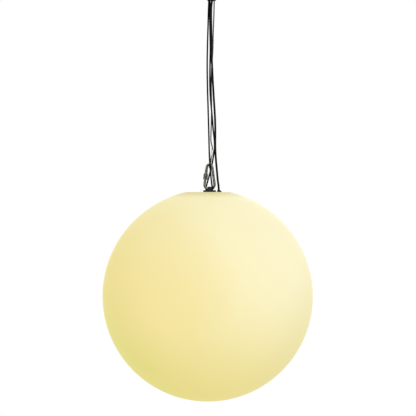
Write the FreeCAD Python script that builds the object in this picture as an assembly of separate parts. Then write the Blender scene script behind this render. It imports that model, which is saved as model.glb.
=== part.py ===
"""Hanging garden globe light: a moulded globe on a snap hook, a wire rope and a cord.

Millimetres, +Z up.  The origin is the centre of the hanging ring that carries the light.
"""
import FreeCAD, Part
import math
import os

V = FreeCAD.Vector

# ---------------------------------------------------------------- driving dimensions
RUNNING_GAP = 0.3           # between faces that move past each other or rest side by side
HINGE_GAP = 0.05            # radial play of a hinge pin in its bore

# globe
GLOBE_RADIUS = 200.0
GLOBE_WALL = 3.0
GLOBE_CENTRE_X = -12.0
GLOBE_CENTRE_Z = -663.8
FLAT_TOP_HEIGHT = 197.7     # flat top above the globe's centre
FLAT_TOP_RADIUS = 43.0
SHOULDER_START_DEG = 30.0   # where the fuller shoulder leaves the sphere

# cover in the flat top
COVER_RADIUS = 40.0
COVER_THICKNESS = 3.0
COVER_EDGE_ROUND = 0.5
MOUTH_RADIUS = 29.0
LEDGE_THICKNESS = 4.0
GASKET_WIDTH = 2.2
GASKET_THICKNESS = 1.2
SCREW_COUNT = 4
SCREW_CIRCLE_RADIUS = 35.5
SCREW_RADIUS = 2.0
SCREW_HEAD_RADIUS = 3.4
SCREW_HEAD_HEIGHT = 1.8
SCREW_LENGTH = 10.0
SCREW_SLOT_WIDTH = 0.85
INSERT_RADIUS = 2.9
INSERT_LENGTH = 7.0
BOSS_WALL = 2.2

# hanging lug
LUG_OFFSET_X = 3.5          # lug's centre from the globe's axis
FLANGE_RADIUS = 12.2
FLANGE_THICKNESS = 2.5
FLANGE_EDGE_ROUND = 0.8
LUG_REAR_WIDTH = 9.4
LUG_FRONT_WIDTH = 4.4
LUG_DEPTH = 10.8
LUG_DOME_RADIUS = 5.1       # round shoulders of the eye seen from the front
LUG_DOME_LIFT = 0.3         # their crown above the eye's own crown
LUG_THROAT_GAP = 0.36       # between the bent rod and the bore's narrowest ring
STEM_RADIUS = 3.0
STEM_LENGTH = 14.0
WASHER_RADIUS = 5.6
WASHER_THICKNESS = 1.2
NUT_ACROSS_FLATS = 10.0
NUT_THICKNESS = 4.0

# snap hook
ROD_RADIUS = 2.5
HOOK_LENGTH = 52.0
WIDE_BEND_RADIUS = 9.5      # centreline of the lower, wide bend
NARROW_BEND_RADIUS = 5.2    # centreline of the upper, narrow bend
PIVOT_FROM_BEND = 3.0       # gate pivot below the narrow bend, along the gate
NOSE_ABOVE_BEND = 4.0       # nose shoulder above the wide bend, along the gate side
TONGUE_THICKNESS = 2.2
NOSE_TONGUE_LENGTH = 3.5
PIN_RADIUS = 0.9
PIN_LENGTH = 5.2
NOSE_PIN_SETBACK = 1.3      # nose pin from the tongue's tip
GATE_RADIUS = 2.8
SLEEVE_OUTER_RADIUS = 4.3
SLEEVE_LENGTH = 11.4
SLEEVE_ABOVE_NOSE = 4.1     # unlocked sleeve's lower end above the nose shoulder
SLEEVE_FLUTES = 12
FLUTE_RADIUS = 0.7
FLUTE_OUTSET = 0.2          # flute's centre outside the sleeve's surface
SLEEVE_CHAMFER = 0.35

# wire rope with its eyes
ROPE_RADIUS = 1.25
THIMBLE_INNER_RADIUS = 4.0
THIMBLE_WALL = 0.9
THIMBLE_LIP = 0.8
THIMBLE_TIP_SHARE = 0.72    # legs' meeting place on the way from the eye's centre to the ferrule
THIMBLE_BLUNT_SHARE = 0.93  # where the tips are cut off, on the way to that place
EYE_LENGTH = 16.2           # eye's round end to the ferrule's mouth
FERRULE_LENGTH = 12.4
FERRULE_WALL = 1.0
FERRULE_CHAMFER = 0.5
FERRULE_BORE_GAP = 0.02
DEAD_END_LENGTH = 1.5       # rope end that stands out of a ferrule
EYE_CORNERS = 6
LOWER_EYE_LEAN_DEG = 9.4    # lower eye and ferrule, leaning towards the cable
ROPE_LEAD = 3.0             # straight rope above the lower ferrule

# hanging ring
RING_RADIUS = 13.0          # centreline
RING_ROD_RADIUS = 2.0

# hanging cord and the cable
CORD_RADIUS = 1.5
CORD_HOLE_GAP = 0.3
KNOT_RADIUS = 2.5
KNOT_SEAT = 2.0             # knot's middle below the flat that bears on the cover
CABLE_RADIUS = 2.0
COIL_RADIUS = 23.0          # middle of the turns
COIL_LAYERS = 5             # turns lying on each other
COIL_ROWS = 4               # turns lying side by side
TURN_GAP = 0.1              # between two turns
COIL_CENTRE_X = 42.0
COIL_CENTRE_Z = -38.0
COIL_ROUND = 2.5
STRAP_HEIGHT = 12.0
STRAP_THICKNESS = 1.2
TIE_HEIGHT = 4.8
TIE_THICKNESS = 1.2
TIE_CENTRE_Z = -98.9
TIE_LEFT, TIE_RIGHT = -11.6, 2.2
TIE_FRONT, TIE_REAR = -6.8, 6.0

# cable connector
TAIL_LENGTH = 19.5         # from the coil's middle height down to the boot
BOOT_LENGTH = 9.0
BOOT_TIP_RADIUS = 3.0
BOOT_GROOVES = 3
BOOT_GROOVE_RADIUS = 1.0
CONNECTOR_RADIUS = 5.2
CONNECTOR_LENGTH = 24.0
CONNECTOR_NUT_RADIUS = 7.0
CONNECTOR_NUT_LENGTH = 13.0
CONNECTOR_COLLAR = 1.6
CONNECTOR_RIBS = 10
PIN_CONTACT_RADIUS = 0.8
PIN_CONTACT_LENGTH = 6.0
PIN_CONTACT_SPACING = 3.6
CONNECTOR_SOCKET_DEPTH = 7.0
CONNECTOR_WALL = 1.0

# cable entry
GROMMET_OFFSET_X = 22.2     # from the globe's axis
GROMMET_RADIUS = 5.0
GROMMET_CONE_RADIUS = 4.0
GROMMET_FLANGE = 1.4
GROMMET_HEIGHT = 4.6
GROMMET_TIP_RADIUS = 2.7
GROMMET_NECK_RADIUS = 3.6
GROMMET_BELOW = 2.0         # foot below the cover
GROMMET_LEAN = 1.2          # tip's offset towards the rope, as the cable pulls it

# lampholder and lamp
HOLDER_RADIUS = 19.5
HOLDER_LENGTH = 44.0
HOLDER_WALL = 2.4
HOLDER_TOP_RADIUS = 10.7
HOLDER_TAPER = 9.75         # height of the sloping shoulder
HOLDER_DROP = 36.0          # top of the lampholder below the cover
SCREW_SHELL_RADIUS = 14.2
SCREW_SHELL_WALL = 0.6
BRACKET_WIDTH = 10.0
BRACKET_THICKNESS = 1.5
LAMP_CAP_RADIUS = 13.2
LAMP_CAP_LENGTH = 22.0
LAMP_CAP_TIP = 4.0
BULB_RADIUS = 22.5
BULB_NECK_RADIUS = 14.0
BULB_LENGTH = 56.0
BULB_JOIN_DEG = 35.0        # where the cone meets the round end
CONTACT_LENGTH = 3.0
CONTACT_WIDTH = 6.4
CONTACT_THICKNESS = 0.75
LEAD_RADIUS = 1.6
# lead's way: shares of the run across, sideways bow, share of the run down
LEAD_WAY = [(0, 0, 0), (0.045, 0.2, 0.25), (0.315, 0.6, 0.47), (0.7, 0.5, 0.632), (1, 0, 0.824)]

# ---------------------------------------------------------------- places worked out once
FLAT_TOP_Z = GLOBE_CENTRE_Z + FLAT_TOP_HEIGHT
COVER_UNDER_Z = FLAT_TOP_Z - COVER_THICKNESS
LEDGE_TOP_Z = COVER_UNDER_Z - GASKET_THICKNESS
LEDGE_UNDER_Z = LEDGE_TOP_Z - LEDGE_THICKNESS
LUG_X = GLOBE_CENTRE_X + LUG_OFFSET_X
FLANGE_TOP_Z = FLAT_TOP_Z + FLANGE_THICKNESS
SWING_AXIS_Z = FLANGE_TOP_Z + ROD_RADIUS + RUNNING_GAP
HOOK_X = LUG_X
WIDE_BEND_Z = SWING_AXIS_Z + WIDE_BEND_RADIUS
NARROW_BEND_Z = SWING_AXIS_Z + HOOK_LENGTH - 2 * ROD_RADIUS - NARROW_BEND_RADIUS
BEND_SPAN = NARROW_BEND_Z - WIDE_BEND_Z
GATE_LEAN = math.asin((WIDE_BEND_RADIUS - NARROW_BEND_RADIUS) / BEND_SPAN)
GATE_OUTWARD = V(-math.cos(GATE_LEAN), 0, math.sin(GATE_LEAN))
GATE_DOWN = V(-math.sin(GATE_LEAN), 0, -math.cos(GATE_LEAN))
GATE_START = V(HOOK_X, 0, NARROW_BEND_Z) + GATE_OUTWARD * NARROW_BEND_RADIUS
NOSE_FROM_BEND = BEND_SPAN * math.cos(GATE_LEAN) - NOSE_ABOVE_BEND
SLEEVE_FROM_BEND = NOSE_FROM_BEND - SLEEVE_ABOVE_NOSE - SLEEVE_LENGTH
COIL_PITCH = 2 * CABLE_RADIUS + TURN_GAP
COIL_DEPTH = COIL_LAYERS * COIL_PITCH
COIL_WIDTH = COIL_ROWS * COIL_PITCH
TAIL_X = COIL_CENTRE_X + COIL_RADIUS + (COIL_LAYERS - 1) / 2 * COIL_PITCH
TAIL_Y = (COIL_ROWS - 1) / 2 * COIL_PITCH
BOOT_TOP_Z = COIL_CENTRE_Z - TAIL_LENGTH
CONNECTOR_TOP_Z = BOOT_TOP_Z - BOOT_LENGTH
CONNECTOR_LOW_Z = CONNECTOR_TOP_Z - CONNECTOR_LENGTH
NUT_TOP_Z = CONNECTOR_LOW_Z + CONNECTOR_NUT_LENGTH - CONNECTOR_COLLAR
BRACKET_TOP_Z = COVER_UNDER_Z - WASHER_THICKNESS
HOLDER_TOP_Z = COVER_UNDER_Z - HOLDER_DROP
SOCKET_FLOOR_Z = HOLDER_TOP_Z - HOLDER_TAPER - HOLDER_WALL
LAMP_TOP_Z = SOCKET_FLOOR_Z - CONTACT_LENGTH
GROMMET_X = GLOBE_CENTRE_X + GROMMET_OFFSET_X
ROPE_LINE_RADIUS = THIMBLE_INNER_RADIUS + THIMBLE_WALL + ROPE_RADIUS
ROPE_PAIR_OFFSET = ROPE_RADIUS + 0.05
LOWER_EYE_X = HOOK_X
THIMBLE_HALF_WIDTH = ROPE_RADIUS + THIMBLE_LIP / 2
# the thimble's edges seat in the narrow bend
THIMBLE_REACH = NARROW_BEND_RADIUS - ROD_RADIUS - RUNNING_GAP
THIMBLE_SEAT = math.sqrt(THIMBLE_REACH ** 2 - THIMBLE_HALF_WIDTH ** 2)
LOWER_EYE_Z = NARROW_BEND_Z + THIMBLE_SEAT + THIMBLE_INNER_RADIUS
LOWER_MOUTH_Z = LOWER_EYE_Z + EYE_LENGTH
UPPER_EYE_Z = -RING_RADIUS + RING_ROD_RADIUS + RUNNING_GAP - THIMBLE_INNER_RADIUS
UPPER_MOUTH_Z = UPPER_EYE_Z - EYE_LENGTH

# holes for the hanging cord, from the lug's centre
FRONT_CORD_HOLE = (5.4, -6.6)
REAR_CORD_HOLE = (-6.6, 6.0)
KNOT_TOP_Z = COVER_UNDER_Z - RUNNING_GAP
CORD_BIGHT_X = -6.4
CORD_BIGHT_HALF = RING_ROD_RADIUS + CORD_RADIUS + 1.0

# Routes, chosen by hand, from the globe upwards.
REAR_CORD_ROUTE = [
    (LUG_X + REAR_CORD_HOLE[0], REAR_CORD_HOLE[1], KNOT_TOP_Z),
    (LUG_X + REAR_CORD_HOLE[0], REAR_CORD_HOLE[1], FLANGE_TOP_Z + 2.2),
    (-12.9, 6.3, -453.0),
    (-9.5, 6.6, -442.5),
    (-6.6, 6.5, -430.0),
    (-3.2, 6.2, -414.0),
    (-0.6, 5.8, -400.0),
    (1.2, 5.4, -383.0),
    (0.4, 5.2, -364.0),
    (-2.6, 5.0, -346.0),
    (-4.1, 4.8, -322.0),
    (-5.4, 4.6, -290.0),
    (-7.2, 4.5, -258.0),
    (-6.6, 4.5, -226.0),
    (-5.4, 4.4, -190.0),
    (-5.3, 4.3, -150.0),
    (-5.6, 4.2, -112.0),
    (-6.9, 4.2, -82.0),
    (-6.2, 4.2, -52.0),
    (CORD_BIGHT_X, CORD_BIGHT_HALF, -28.0),
]
FRONT_CORD_ROUTE = [
    (LUG_X + FRONT_CORD_HOLE[0], FRONT_CORD_HOLE[1], KNOT_TOP_Z),
    (LUG_X + FRONT_CORD_HOLE[0], FRONT_CORD_HOLE[1], FLANGE_TOP_Z + 2.2),
    (-4.6, -7.6, -449.5),
    (-6.6, -8.7, -437.0),
    (-7.7, -9.6, -423.0),
    (-8.7, -9.7, -408.0),
    (-8.9, -8.6, -392.0),
    (-9.5, -6.6, -366.0),
    (-10.1, -5.3, -334.0),
    (-11.2, -5.0, -296.0),
    (-12.6, -4.8, -258.0),
    (-12.9, -4.6, -222.0),
    (-12.5, -4.4, -184.0),
    (-10.9, -4.3, -146.0),
    (-10.0, -4.2, -112.0),
    (-8.4, -4.2, -82.0),
    (-7.6, -4.2, -52.0),
    (CORD_BIGHT_X, -CORD_BIGHT_HALF, -28.0),
]
CABLE_ROUTE = [
    (GROMMET_X - GROMMET_LEAN, 0.0, FLAT_TOP_Z + GROMMET_HEIGHT),
    (GROMMET_X - GROMMET_LEAN, 0.0, FLAT_TOP_Z + GROMMET_HEIGHT + 6.0),
    (7.7, -0.4, -445.0),
    (6.2, -1.2, -428.0),
    (4.3, -2.3, -404.0),
    (2.0, -3.4, -380.0),
    (3.2, -3.9, -354.0),
    (2.9, -4.2, -326.0),
    (0.9, -4.4, -298.0),
    (-1.2, -4.5, -266.0),
    (-2.6, -4.5, -232.0),
    (-3.2, -4.5, -196.0),
    (-3.9, -4.5, -162.0),
    (-4.7, -4.5, -130.0),
    (-4.4, -4.5, -106.0),
    (0.8, -4.8, -84.0),
    (8.0, -5.5, -64.0),
    (10.9, -6.1, -42.0),
]
ROPE_ROUTE = [
    (-6.4, 0.5, -367.0),
    (-6.9, -0.2, -352.0),
    (-7.7, 0.0, -320.0),
    (-5.6, 0.1, -286.0),
    (-3.6, 0.0, -246.0),
    (-2.9, -0.1, -206.0),
    (-2.2, 0.0, -160.0),
    (-0.5, 0.1, -118.0),
    (0.4, 0.0, -84.0),
]


# ---------------------------------------------------------------- building helpers
def revolve_profile(edges, centre_x=0.0):
    """Solid of revolution about a vertical line; the edges lie in the XZ plane."""
    face = Part.Face(Part.Wire(edges))
    solid = face.revolve(V(0, 0, 0), V(0, 0, 1), 360)
    solid.translate(V(centre_x, 0, 0))
    return solid


def polygon_edges(points):
    """Closed ring of straight edges through (radius, height) points."""
    places = [V(x, 0, z) for x, z in points]
    return [line(a, b) for a, b in zip(places, places[1:] + places[:1])]


def line(a, b):
    return Part.LineSegment(a, b).toShape()


def arc(a, middle, b):
    return Part.Arc(a, middle, b).toShape()


def round_corners(points):
    """Straight runs joined by tangent arcs; returns the edges, their length and the radii."""
    edges = []
    radii = []
    start = points[0]
    for before, corner, after in zip(points, points[1:], points[2:]):
        inward = (corner - before).normalize()
        outward = (after - corner).normalize()
        turn = inward.getAngle(outward)
        setback = 0.45 * min((corner - before).Length, (after - corner).Length)
        radius = setback / math.tan(turn / 2)
        first = corner - inward * setback
        last = corner + outward * setback
        to_centre = (outward - inward).normalize()
        sagitta = radius / math.cos(turn / 2) - radius
        edges.append(line(start, first))
        edges.append(arc(first, corner + to_centre * sagitta, last))
        radii.append(radius)
        start = last
    edges.append(line(start, points[-1]))
    return edges, sum(edge.Length for edge in edges), radii


def tube(points, radius, name):
    """Round tube along a route with rounded corners."""
    places = [V(*point) for point in points]
    edges, length, radii = round_corners(places)
    direction = (places[1] - places[0]).normalize()
    section = Part.Wire([Part.Circle(places[0], direction, radius).toShape()])
    solid = Part.Wire(edges).makePipeShell([section], True, False)
    share = solid.Volume / (math.pi * radius ** 2 * length)
    print(f"{name}: length {length:.1f} volume share {share:.4f} tightest {min(radii):.1f}")
    return solid


def hexagon(centre, across_flats, height):
    """Upright hexagonal prism, flats facing +X and -X."""
    reach = across_flats / math.sqrt(3)
    corners = []
    for step in range(6):
        turn = math.radians(30 + 60 * step)
        corners.append(centre + V(reach * math.cos(turn), reach * math.sin(turn), 0))
    outline = Part.makePolygon(corners + corners[:1])
    return Part.Face(outline).extrude(V(0, 0, height))


def around(count, radius, centre_x, centre_y=0.0):
    """Places evenly spaced on a circle about a vertical line."""
    for step in range(count):
        turn = 2 * math.pi * (step + 0.5) / count
        yield centre_x + radius * math.cos(turn), centre_y + radius * math.sin(turn)


# ---------------------------------------------------------------- globe and cover
def half_outline(start, wall, lean, shoulder_centre):
    """From the rim round the shoulder and the ball to the lower pole, moved inwards by a wall."""
    join = lean * (GLOBE_RADIUS - wall)
    bisector = ((start - shoulder_centre).normalize() + lean).normalize()
    middle = shoulder_centre + bisector * (start - shoulder_centre).Length
    side = V(lean.x, 0, -lean.z) * (GLOBE_RADIUS - wall)
    pole = V(0, 0, wall - GLOBE_RADIUS)
    return arc(start, middle, join), arc(join, side, pole), pole


def globe_shell():
    """Thin globe with a fuller shoulder, a flat top, a recessed ledge and screw bosses."""
    shoulder = math.radians(SHOULDER_START_DEG)
    lean = V(math.cos(shoulder), 0, math.sin(shoulder))
    rim = V(FLAT_TOP_RADIUS, 0, FLAT_TOP_HEIGHT)
    # the shoulder arc leaves the sphere along its tangent and reaches the flat top's rim
    excess = rim.dot(rim) - GLOBE_RADIUS ** 2
    shift = excess / (2 * GLOBE_RADIUS - 2 * rim.dot(lean))
    shoulder_centre = lean * -shift
    shoulder_radius = GLOBE_RADIUS + shift

    inner_height = LEDGE_UNDER_Z - GLOBE_CENTRE_Z
    reach = (shoulder_radius - GLOBE_WALL) ** 2 - (inner_height - shoulder_centre.z) ** 2
    inner_radius = shoulder_centre.x + math.sqrt(reach)
    top = rim
    under = V(inner_radius, 0, inner_height)
    outer_shoulder, outer_ball, outer_pole = half_outline(top, 0, lean, shoulder_centre)
    inner_shoulder, inner_ball, inner_pole = half_outline(under, GLOBE_WALL, lean, shoulder_centre)
    recess_radius = COVER_RADIUS + RUNNING_GAP
    ledge_height = LEDGE_TOP_Z - GLOBE_CENTRE_Z
    recess_top = V(recess_radius, 0, FLAT_TOP_HEIGHT)
    recess_floor = V(recess_radius, 0, ledge_height)
    mouth_top = V(MOUTH_RADIUS, 0, ledge_height)
    mouth_under = V(MOUTH_RADIUS, 0, inner_height)
    edges = [outer_shoulder, outer_ball, line(outer_pole, inner_pole), inner_ball, inner_shoulder,
             line(under, mouth_under), line(mouth_under, mouth_top),
             line(mouth_top, recess_floor), line(recess_floor, recess_top), line(recess_top, top)]
    shell = revolve_profile(Part.__sortEdges__(edges))
    shell.translate(V(GLOBE_CENTRE_X, 0, GLOBE_CENTRE_Z))
    boss_radius = INSERT_RADIUS + BOSS_WALL
    boss_under = LEDGE_TOP_Z - INSERT_LENGTH - BOSS_WALL
    for x, y in around(SCREW_COUNT, SCREW_CIRCLE_RADIUS, GLOBE_CENTRE_X):
        boss = Part.makeCylinder(boss_radius, LEDGE_TOP_Z - boss_under, V(x, y, boss_under))
        shell = shell.fuse(boss)
    for x, y in around(SCREW_COUNT, SCREW_CIRCLE_RADIUS, GLOBE_CENTRE_X):
        pocket = Part.makeCylinder(INSERT_RADIUS, INSERT_LENGTH, V(x, y, LEDGE_TOP_Z - INSERT_LENGTH))
        shell = shell.cut(pocket)
    return shell.removeSplitter()


def cord_hole_places():
    for x, y in (FRONT_CORD_HOLE, REAR_CORD_HOLE):
        yield LUG_X + x, y


def cover_plate():
    """Disc flush with the flat top; bored for the lug, the cord, the cable and the screws."""
    cover = Part.makeCylinder(COVER_RADIUS, COVER_THICKNESS, V(GLOBE_CENTRE_X, 0, COVER_UNDER_Z))
    upper_rim = [e for e in cover.Edges if abs(e.CenterOfMass.z - FLAT_TOP_Z) < 0.01 and e.Closed]
    cover = cover.makeFillet(COVER_EDGE_ROUND, upper_rim)
    bores = [(LUG_X, 0, STEM_RADIUS + RUNNING_GAP), (GROMMET_X, 0, GROMMET_NECK_RADIUS)]
    bores += [(x, y, CORD_RADIUS + CORD_HOLE_GAP) for x, y in cord_hole_places()]
    for x, y, radius in bores:
        cover = cover.cut(Part.makeCylinder(radius, COVER_THICKNESS, V(x, y, COVER_UNDER_Z)))
    head_cone = SCREW_HEAD_RADIUS + RUNNING_GAP
    for x, y in around(SCREW_COUNT, SCREW_CIRCLE_RADIUS, GLOBE_CENTRE_X):
        shank = Part.makeCylinder(SCREW_RADIUS + RUNNING_GAP, COVER_THICKNESS, V(x, y, COVER_UNDER_Z))
        sink = Part.makeCone(SCREW_RADIUS + RUNNING_GAP, head_cone, SCREW_HEAD_HEIGHT,
                             V(x, y, FLAT_TOP_Z - SCREW_HEAD_HEIGHT))
        cover = cover.cut(shank).cut(sink)
    return cover


def cover_gasket():
    """Flat sealing ring between the cover and the ledge."""
    foot = V(GLOBE_CENTRE_X, 0, LEDGE_TOP_Z)
    outer = Part.makeCylinder(MOUTH_RADIUS + GASKET_WIDTH, GASKET_THICKNESS, foot)
    return outer.cut(Part.makeCylinder(MOUTH_RADIUS, GASKET_THICKNESS, foot))


def cover_screws():
    """Countersunk screws with a cross recess."""
    screws = []
    for x, y in around(SCREW_COUNT, SCREW_CIRCLE_RADIUS, GLOBE_CENTRE_X):
        head = Part.makeCone(SCREW_RADIUS, SCREW_HEAD_RADIUS, SCREW_HEAD_HEIGHT,
                             V(x, y, FLAT_TOP_Z - SCREW_HEAD_HEIGHT))
        shank = Part.makeCylinder(SCREW_RADIUS, SCREW_LENGTH - SCREW_HEAD_HEIGHT,
                                  V(x, y, FLAT_TOP_Z - SCREW_LENGTH))
        screw = head.fuse(shank)
        arm = SCREW_HEAD_RADIUS
        for wide, deep in ((arm, SCREW_SLOT_WIDTH), (SCREW_SLOT_WIDTH, arm)):
            recess = Part.makeBox(wide, deep, SCREW_HEAD_HEIGHT / 2,
                                  V(x - wide / 2, y - deep / 2, FLAT_TOP_Z - SCREW_HEAD_HEIGHT / 2))
            screw = screw.cut(recess)
        screws.append(screw)
    return Part.makeCompound(screws)


def boss_inserts():
    """Brass inserts in the bosses; the screws run in their bores."""
    inserts = []
    for x, y in around(SCREW_COUNT, SCREW_CIRCLE_RADIUS, GLOBE_CENTRE_X):
        under = LEDGE_TOP_Z - INSERT_LENGTH
        body = Part.makeCylinder(INSERT_RADIUS, INSERT_LENGTH, V(x, y, under))
        inserts.append(body.cut(Part.makeCylinder(SCREW_RADIUS, INSERT_LENGTH, V(x, y, under))))
    return Part.makeCompound(inserts)


# ---------------------------------------------------------------- lug and what clamps it
def hanging_lug():
    """Round foot, domed eye whose bore clears the hook's bend at every swing, threaded stem."""
    foot = Part.makeCylinder(FLANGE_RADIUS, FLANGE_THICKNESS, V(LUG_X, 0, FLAT_TOP_Z))
    upper_rim = [e for e in foot.Edges if abs(e.CenterOfMass.z - FLANGE_TOP_Z) < 0.01 and e.Closed]
    foot = foot.makeFillet(FLANGE_EDGE_ROUND, upper_rim)
    half_depth = LUG_DEPTH / 2
    foot_z = FLANGE_TOP_Z - FLANGE_THICKNESS / 2
    # arch seen from the side
    side = [line(V(0, -half_depth, foot_z), V(0, half_depth, foot_z)),
            line(V(0, half_depth, foot_z), V(0, half_depth, SWING_AXIS_Z)),
            arc(V(0, half_depth, SWING_AXIS_Z), V(0, 0, SWING_AXIS_Z + half_depth),
                V(0, -half_depth, SWING_AXIS_Z)),
            line(V(0, -half_depth, SWING_AXIS_Z), V(0, -half_depth, foot_z))]
    half_width = LUG_REAR_WIDTH / 2
    arch = Part.Face(Part.Wire(side)).extrude(V(2 * LUG_DOME_RADIUS, 0, 0))
    arch.translate(V(LUG_X - LUG_DOME_RADIUS, 0, 0))
    # dome seen from the front
    crown = SWING_AXIS_Z + half_depth + LUG_DOME_LIFT
    spring = crown - LUG_DOME_RADIUS
    reach = LUG_DOME_RADIUS
    front = [line(V(-reach, 0, foot_z), V(reach, 0, foot_z)),
             line(V(reach, 0, foot_z), V(reach, 0, spring)),
             arc(V(reach, 0, spring), V(0, 0, crown), V(-reach, 0, spring)),
             line(V(-reach, 0, spring), V(-reach, 0, foot_z))]
    dome = Part.Face(Part.Wire(front)).extrude(V(0, LUG_DEPTH, 0))
    dome.translate(V(LUG_X, -half_depth, 0))
    # narrower at the front, seen from above
    taper = Part.makePolygon([V(LUG_X - LUG_FRONT_WIDTH / 2, -half_depth, foot_z),
                              V(LUG_X + LUG_FRONT_WIDTH / 2, -half_depth, foot_z),
                              V(LUG_X + half_width, half_depth, foot_z),
                              V(LUG_X - half_width, half_depth, foot_z),
                              V(LUG_X - LUG_FRONT_WIDTH / 2, -half_depth, foot_z)])
    wedge = Part.Face(taper).extrude(V(0, 0, crown - foot_z))
    eye = arch.common(dome).common(wedge)
    stem = Part.makeCylinder(STEM_RADIUS, STEM_LENGTH, V(LUG_X, 0, FLAT_TOP_Z - STEM_LENGTH))
    lug = foot.fuse(eye).fuse(stem)
    # bore: an hourglass about the swing axis, as wide as the bent rod and its gap
    bore_radius = ROD_RADIUS + LUG_THROAT_GAP
    rise = WIDE_BEND_RADIUS - math.sqrt(WIDE_BEND_RADIUS ** 2 - half_width ** 2)
    throat = [line(V(-half_width, 0, 0), V(half_width, 0, 0)),
              line(V(half_width, 0, 0), V(half_width, 0, bore_radius + rise)),
              arc(V(half_width, 0, bore_radius + rise), V(0, 0, bore_radius),
                  V(-half_width, 0, bore_radius + rise)),
              line(V(-half_width, 0, bore_radius + rise), V(-half_width, 0, 0))]
    bore = Part.Face(Part.Wire(throat)).revolve(V(0, 0, 0), V(1, 0, 0), 360)
    bore.translate(V(LUG_X, 0, SWING_AXIS_Z))
    above_foot = Part.makeBox(LUG_REAR_WIDTH, LUG_DEPTH, LUG_DEPTH,
                              V(LUG_X - half_width, -half_depth, FLANGE_TOP_Z))
    lug = lug.cut(bore.common(above_foot))
    for x, y in cord_hole_places():
        hole = Part.makeCylinder(CORD_RADIUS + CORD_HOLE_GAP, FLANGE_THICKNESS, V(x, y, FLAT_TOP_Z))
        lug = lug.cut(hole)
    return lug.removeSplitter()


def lug_washer():
    """Washer under the cover, round the stem and clear of the cord's knots."""
    foot = V(LUG_X, 0, BRACKET_TOP_Z)
    washer = Part.makeCylinder(WASHER_RADIUS, WASHER_THICKNESS, foot)
    return washer.cut(Part.makeCylinder(STEM_RADIUS + RUNNING_GAP, WASHER_THICKNESS, foot))


def lug_nut():
    """Hexagon nut that clamps the lug, the washer and the lampholder's bracket."""
    under = BRACKET_TOP_Z - BRACKET_THICKNESS - NUT_THICKNESS
    nut = hexagon(V(LUG_X, 0, under), NUT_ACROSS_FLATS, NUT_THICKNESS)
    return nut.cut(Part.makeCylinder(STEM_RADIUS, NUT_THICKNESS, V(LUG_X, 0, under)))


def cord_knots():
    """Stopper knots on the cord's two ends, under the cover."""
    knots = []
    for x, y in cord_hole_places():
        centre = V(x, y, KNOT_TOP_Z - KNOT_SEAT)
        ball = Part.makeSphere(KNOT_RADIUS, centre)
        cap = Part.makeBox(2 * KNOT_RADIUS, 2 * KNOT_RADIUS, KNOT_RADIUS,
                           V(x - KNOT_RADIUS, y - KNOT_RADIUS, KNOT_TOP_Z))
        knots.append(ball.cut(cap))
    return Part.makeCompound(knots)


# ---------------------------------------------------------------- snap hook
def along_gate(distance):
    """Place on the gate side's centreline, below the narrow bend."""
    return GATE_START + GATE_DOWN * distance


def slab(centre, thickness):
    """Wide plate across the hook's plane, to flatten or slot a rod."""
    reach = HOOK_LENGTH
    return Part.makeBox(reach, thickness, reach, centre - V(reach / 2, thickness / 2, reach / 2))


def rod_between(first, last, radius):
    return Part.makeCylinder(radius, (last - first).Length, first, last - first)


def cross_pin(centre, radius, length):
    """Round bar through a place, square to the hook's plane."""
    return Part.makeCylinder(radius, length, centre - V(0, length / 2, 0), V(0, 1, 0))


def hook_rod():
    """Round rod bent to a pear shape, open along the gate side above the nose."""
    mirrored = V(-GATE_OUTWARD.x, 0, GATE_OUTWARD.z)
    low_centre = V(HOOK_X, 0, WIDE_BEND_Z)
    high_centre = V(HOOK_X, 0, NARROW_BEND_Z)
    nose = along_gate(NOSE_FROM_BEND)
    low_left = low_centre + GATE_OUTWARD * WIDE_BEND_RADIUS
    low_right = low_centre + mirrored * WIDE_BEND_RADIUS
    high_right = high_centre + mirrored * NARROW_BEND_RADIUS
    path = Part.Wire([line(nose, low_left),
                      arc(low_left, low_centre - V(0, 0, WIDE_BEND_RADIUS), low_right),
                      line(low_right, high_right),
                      arc(high_right, high_centre + V(0, 0, NARROW_BEND_RADIUS), GATE_START)])
    section = Part.Wire([Part.Circle(nose, GATE_DOWN, ROD_RADIUS).toShape()])
    return path.makePipeShell([section], True, False)


def hook_body():
    """Bent rod with a flat tongue at the pivot and one at the nose, both bored for their pins."""
    pivot = along_gate(PIVOT_FROM_BEND)
    nose = along_gate(NOSE_FROM_BEND)
    pivot_bar = rod_between(GATE_START, pivot, ROD_RADIUS)
    tongue = pivot_bar.common(slab(pivot, TONGUE_THICKNESS))
    tongue = tongue.fuse(cross_pin(pivot, ROD_RADIUS, TONGUE_THICKNESS))
    tip = along_gate(NOSE_FROM_BEND - NOSE_TONGUE_LENGTH)
    nose_bar = rod_between(tip, nose, ROD_RADIUS - RUNNING_GAP)
    nose_tongue = nose_bar.common(slab(nose, TONGUE_THICKNESS))
    body = hook_rod().fuse(tongue).fuse(nose_tongue)
    for centre in (pivot, nose_pin_place()):
        body = body.cut(cross_pin(centre, PIN_RADIUS, PIN_LENGTH))
    return body.removeSplitter()


def nose_pin_place():
    return along_gate(NOSE_FROM_BEND - NOSE_TONGUE_LENGTH + NOSE_PIN_SETBACK)


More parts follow.
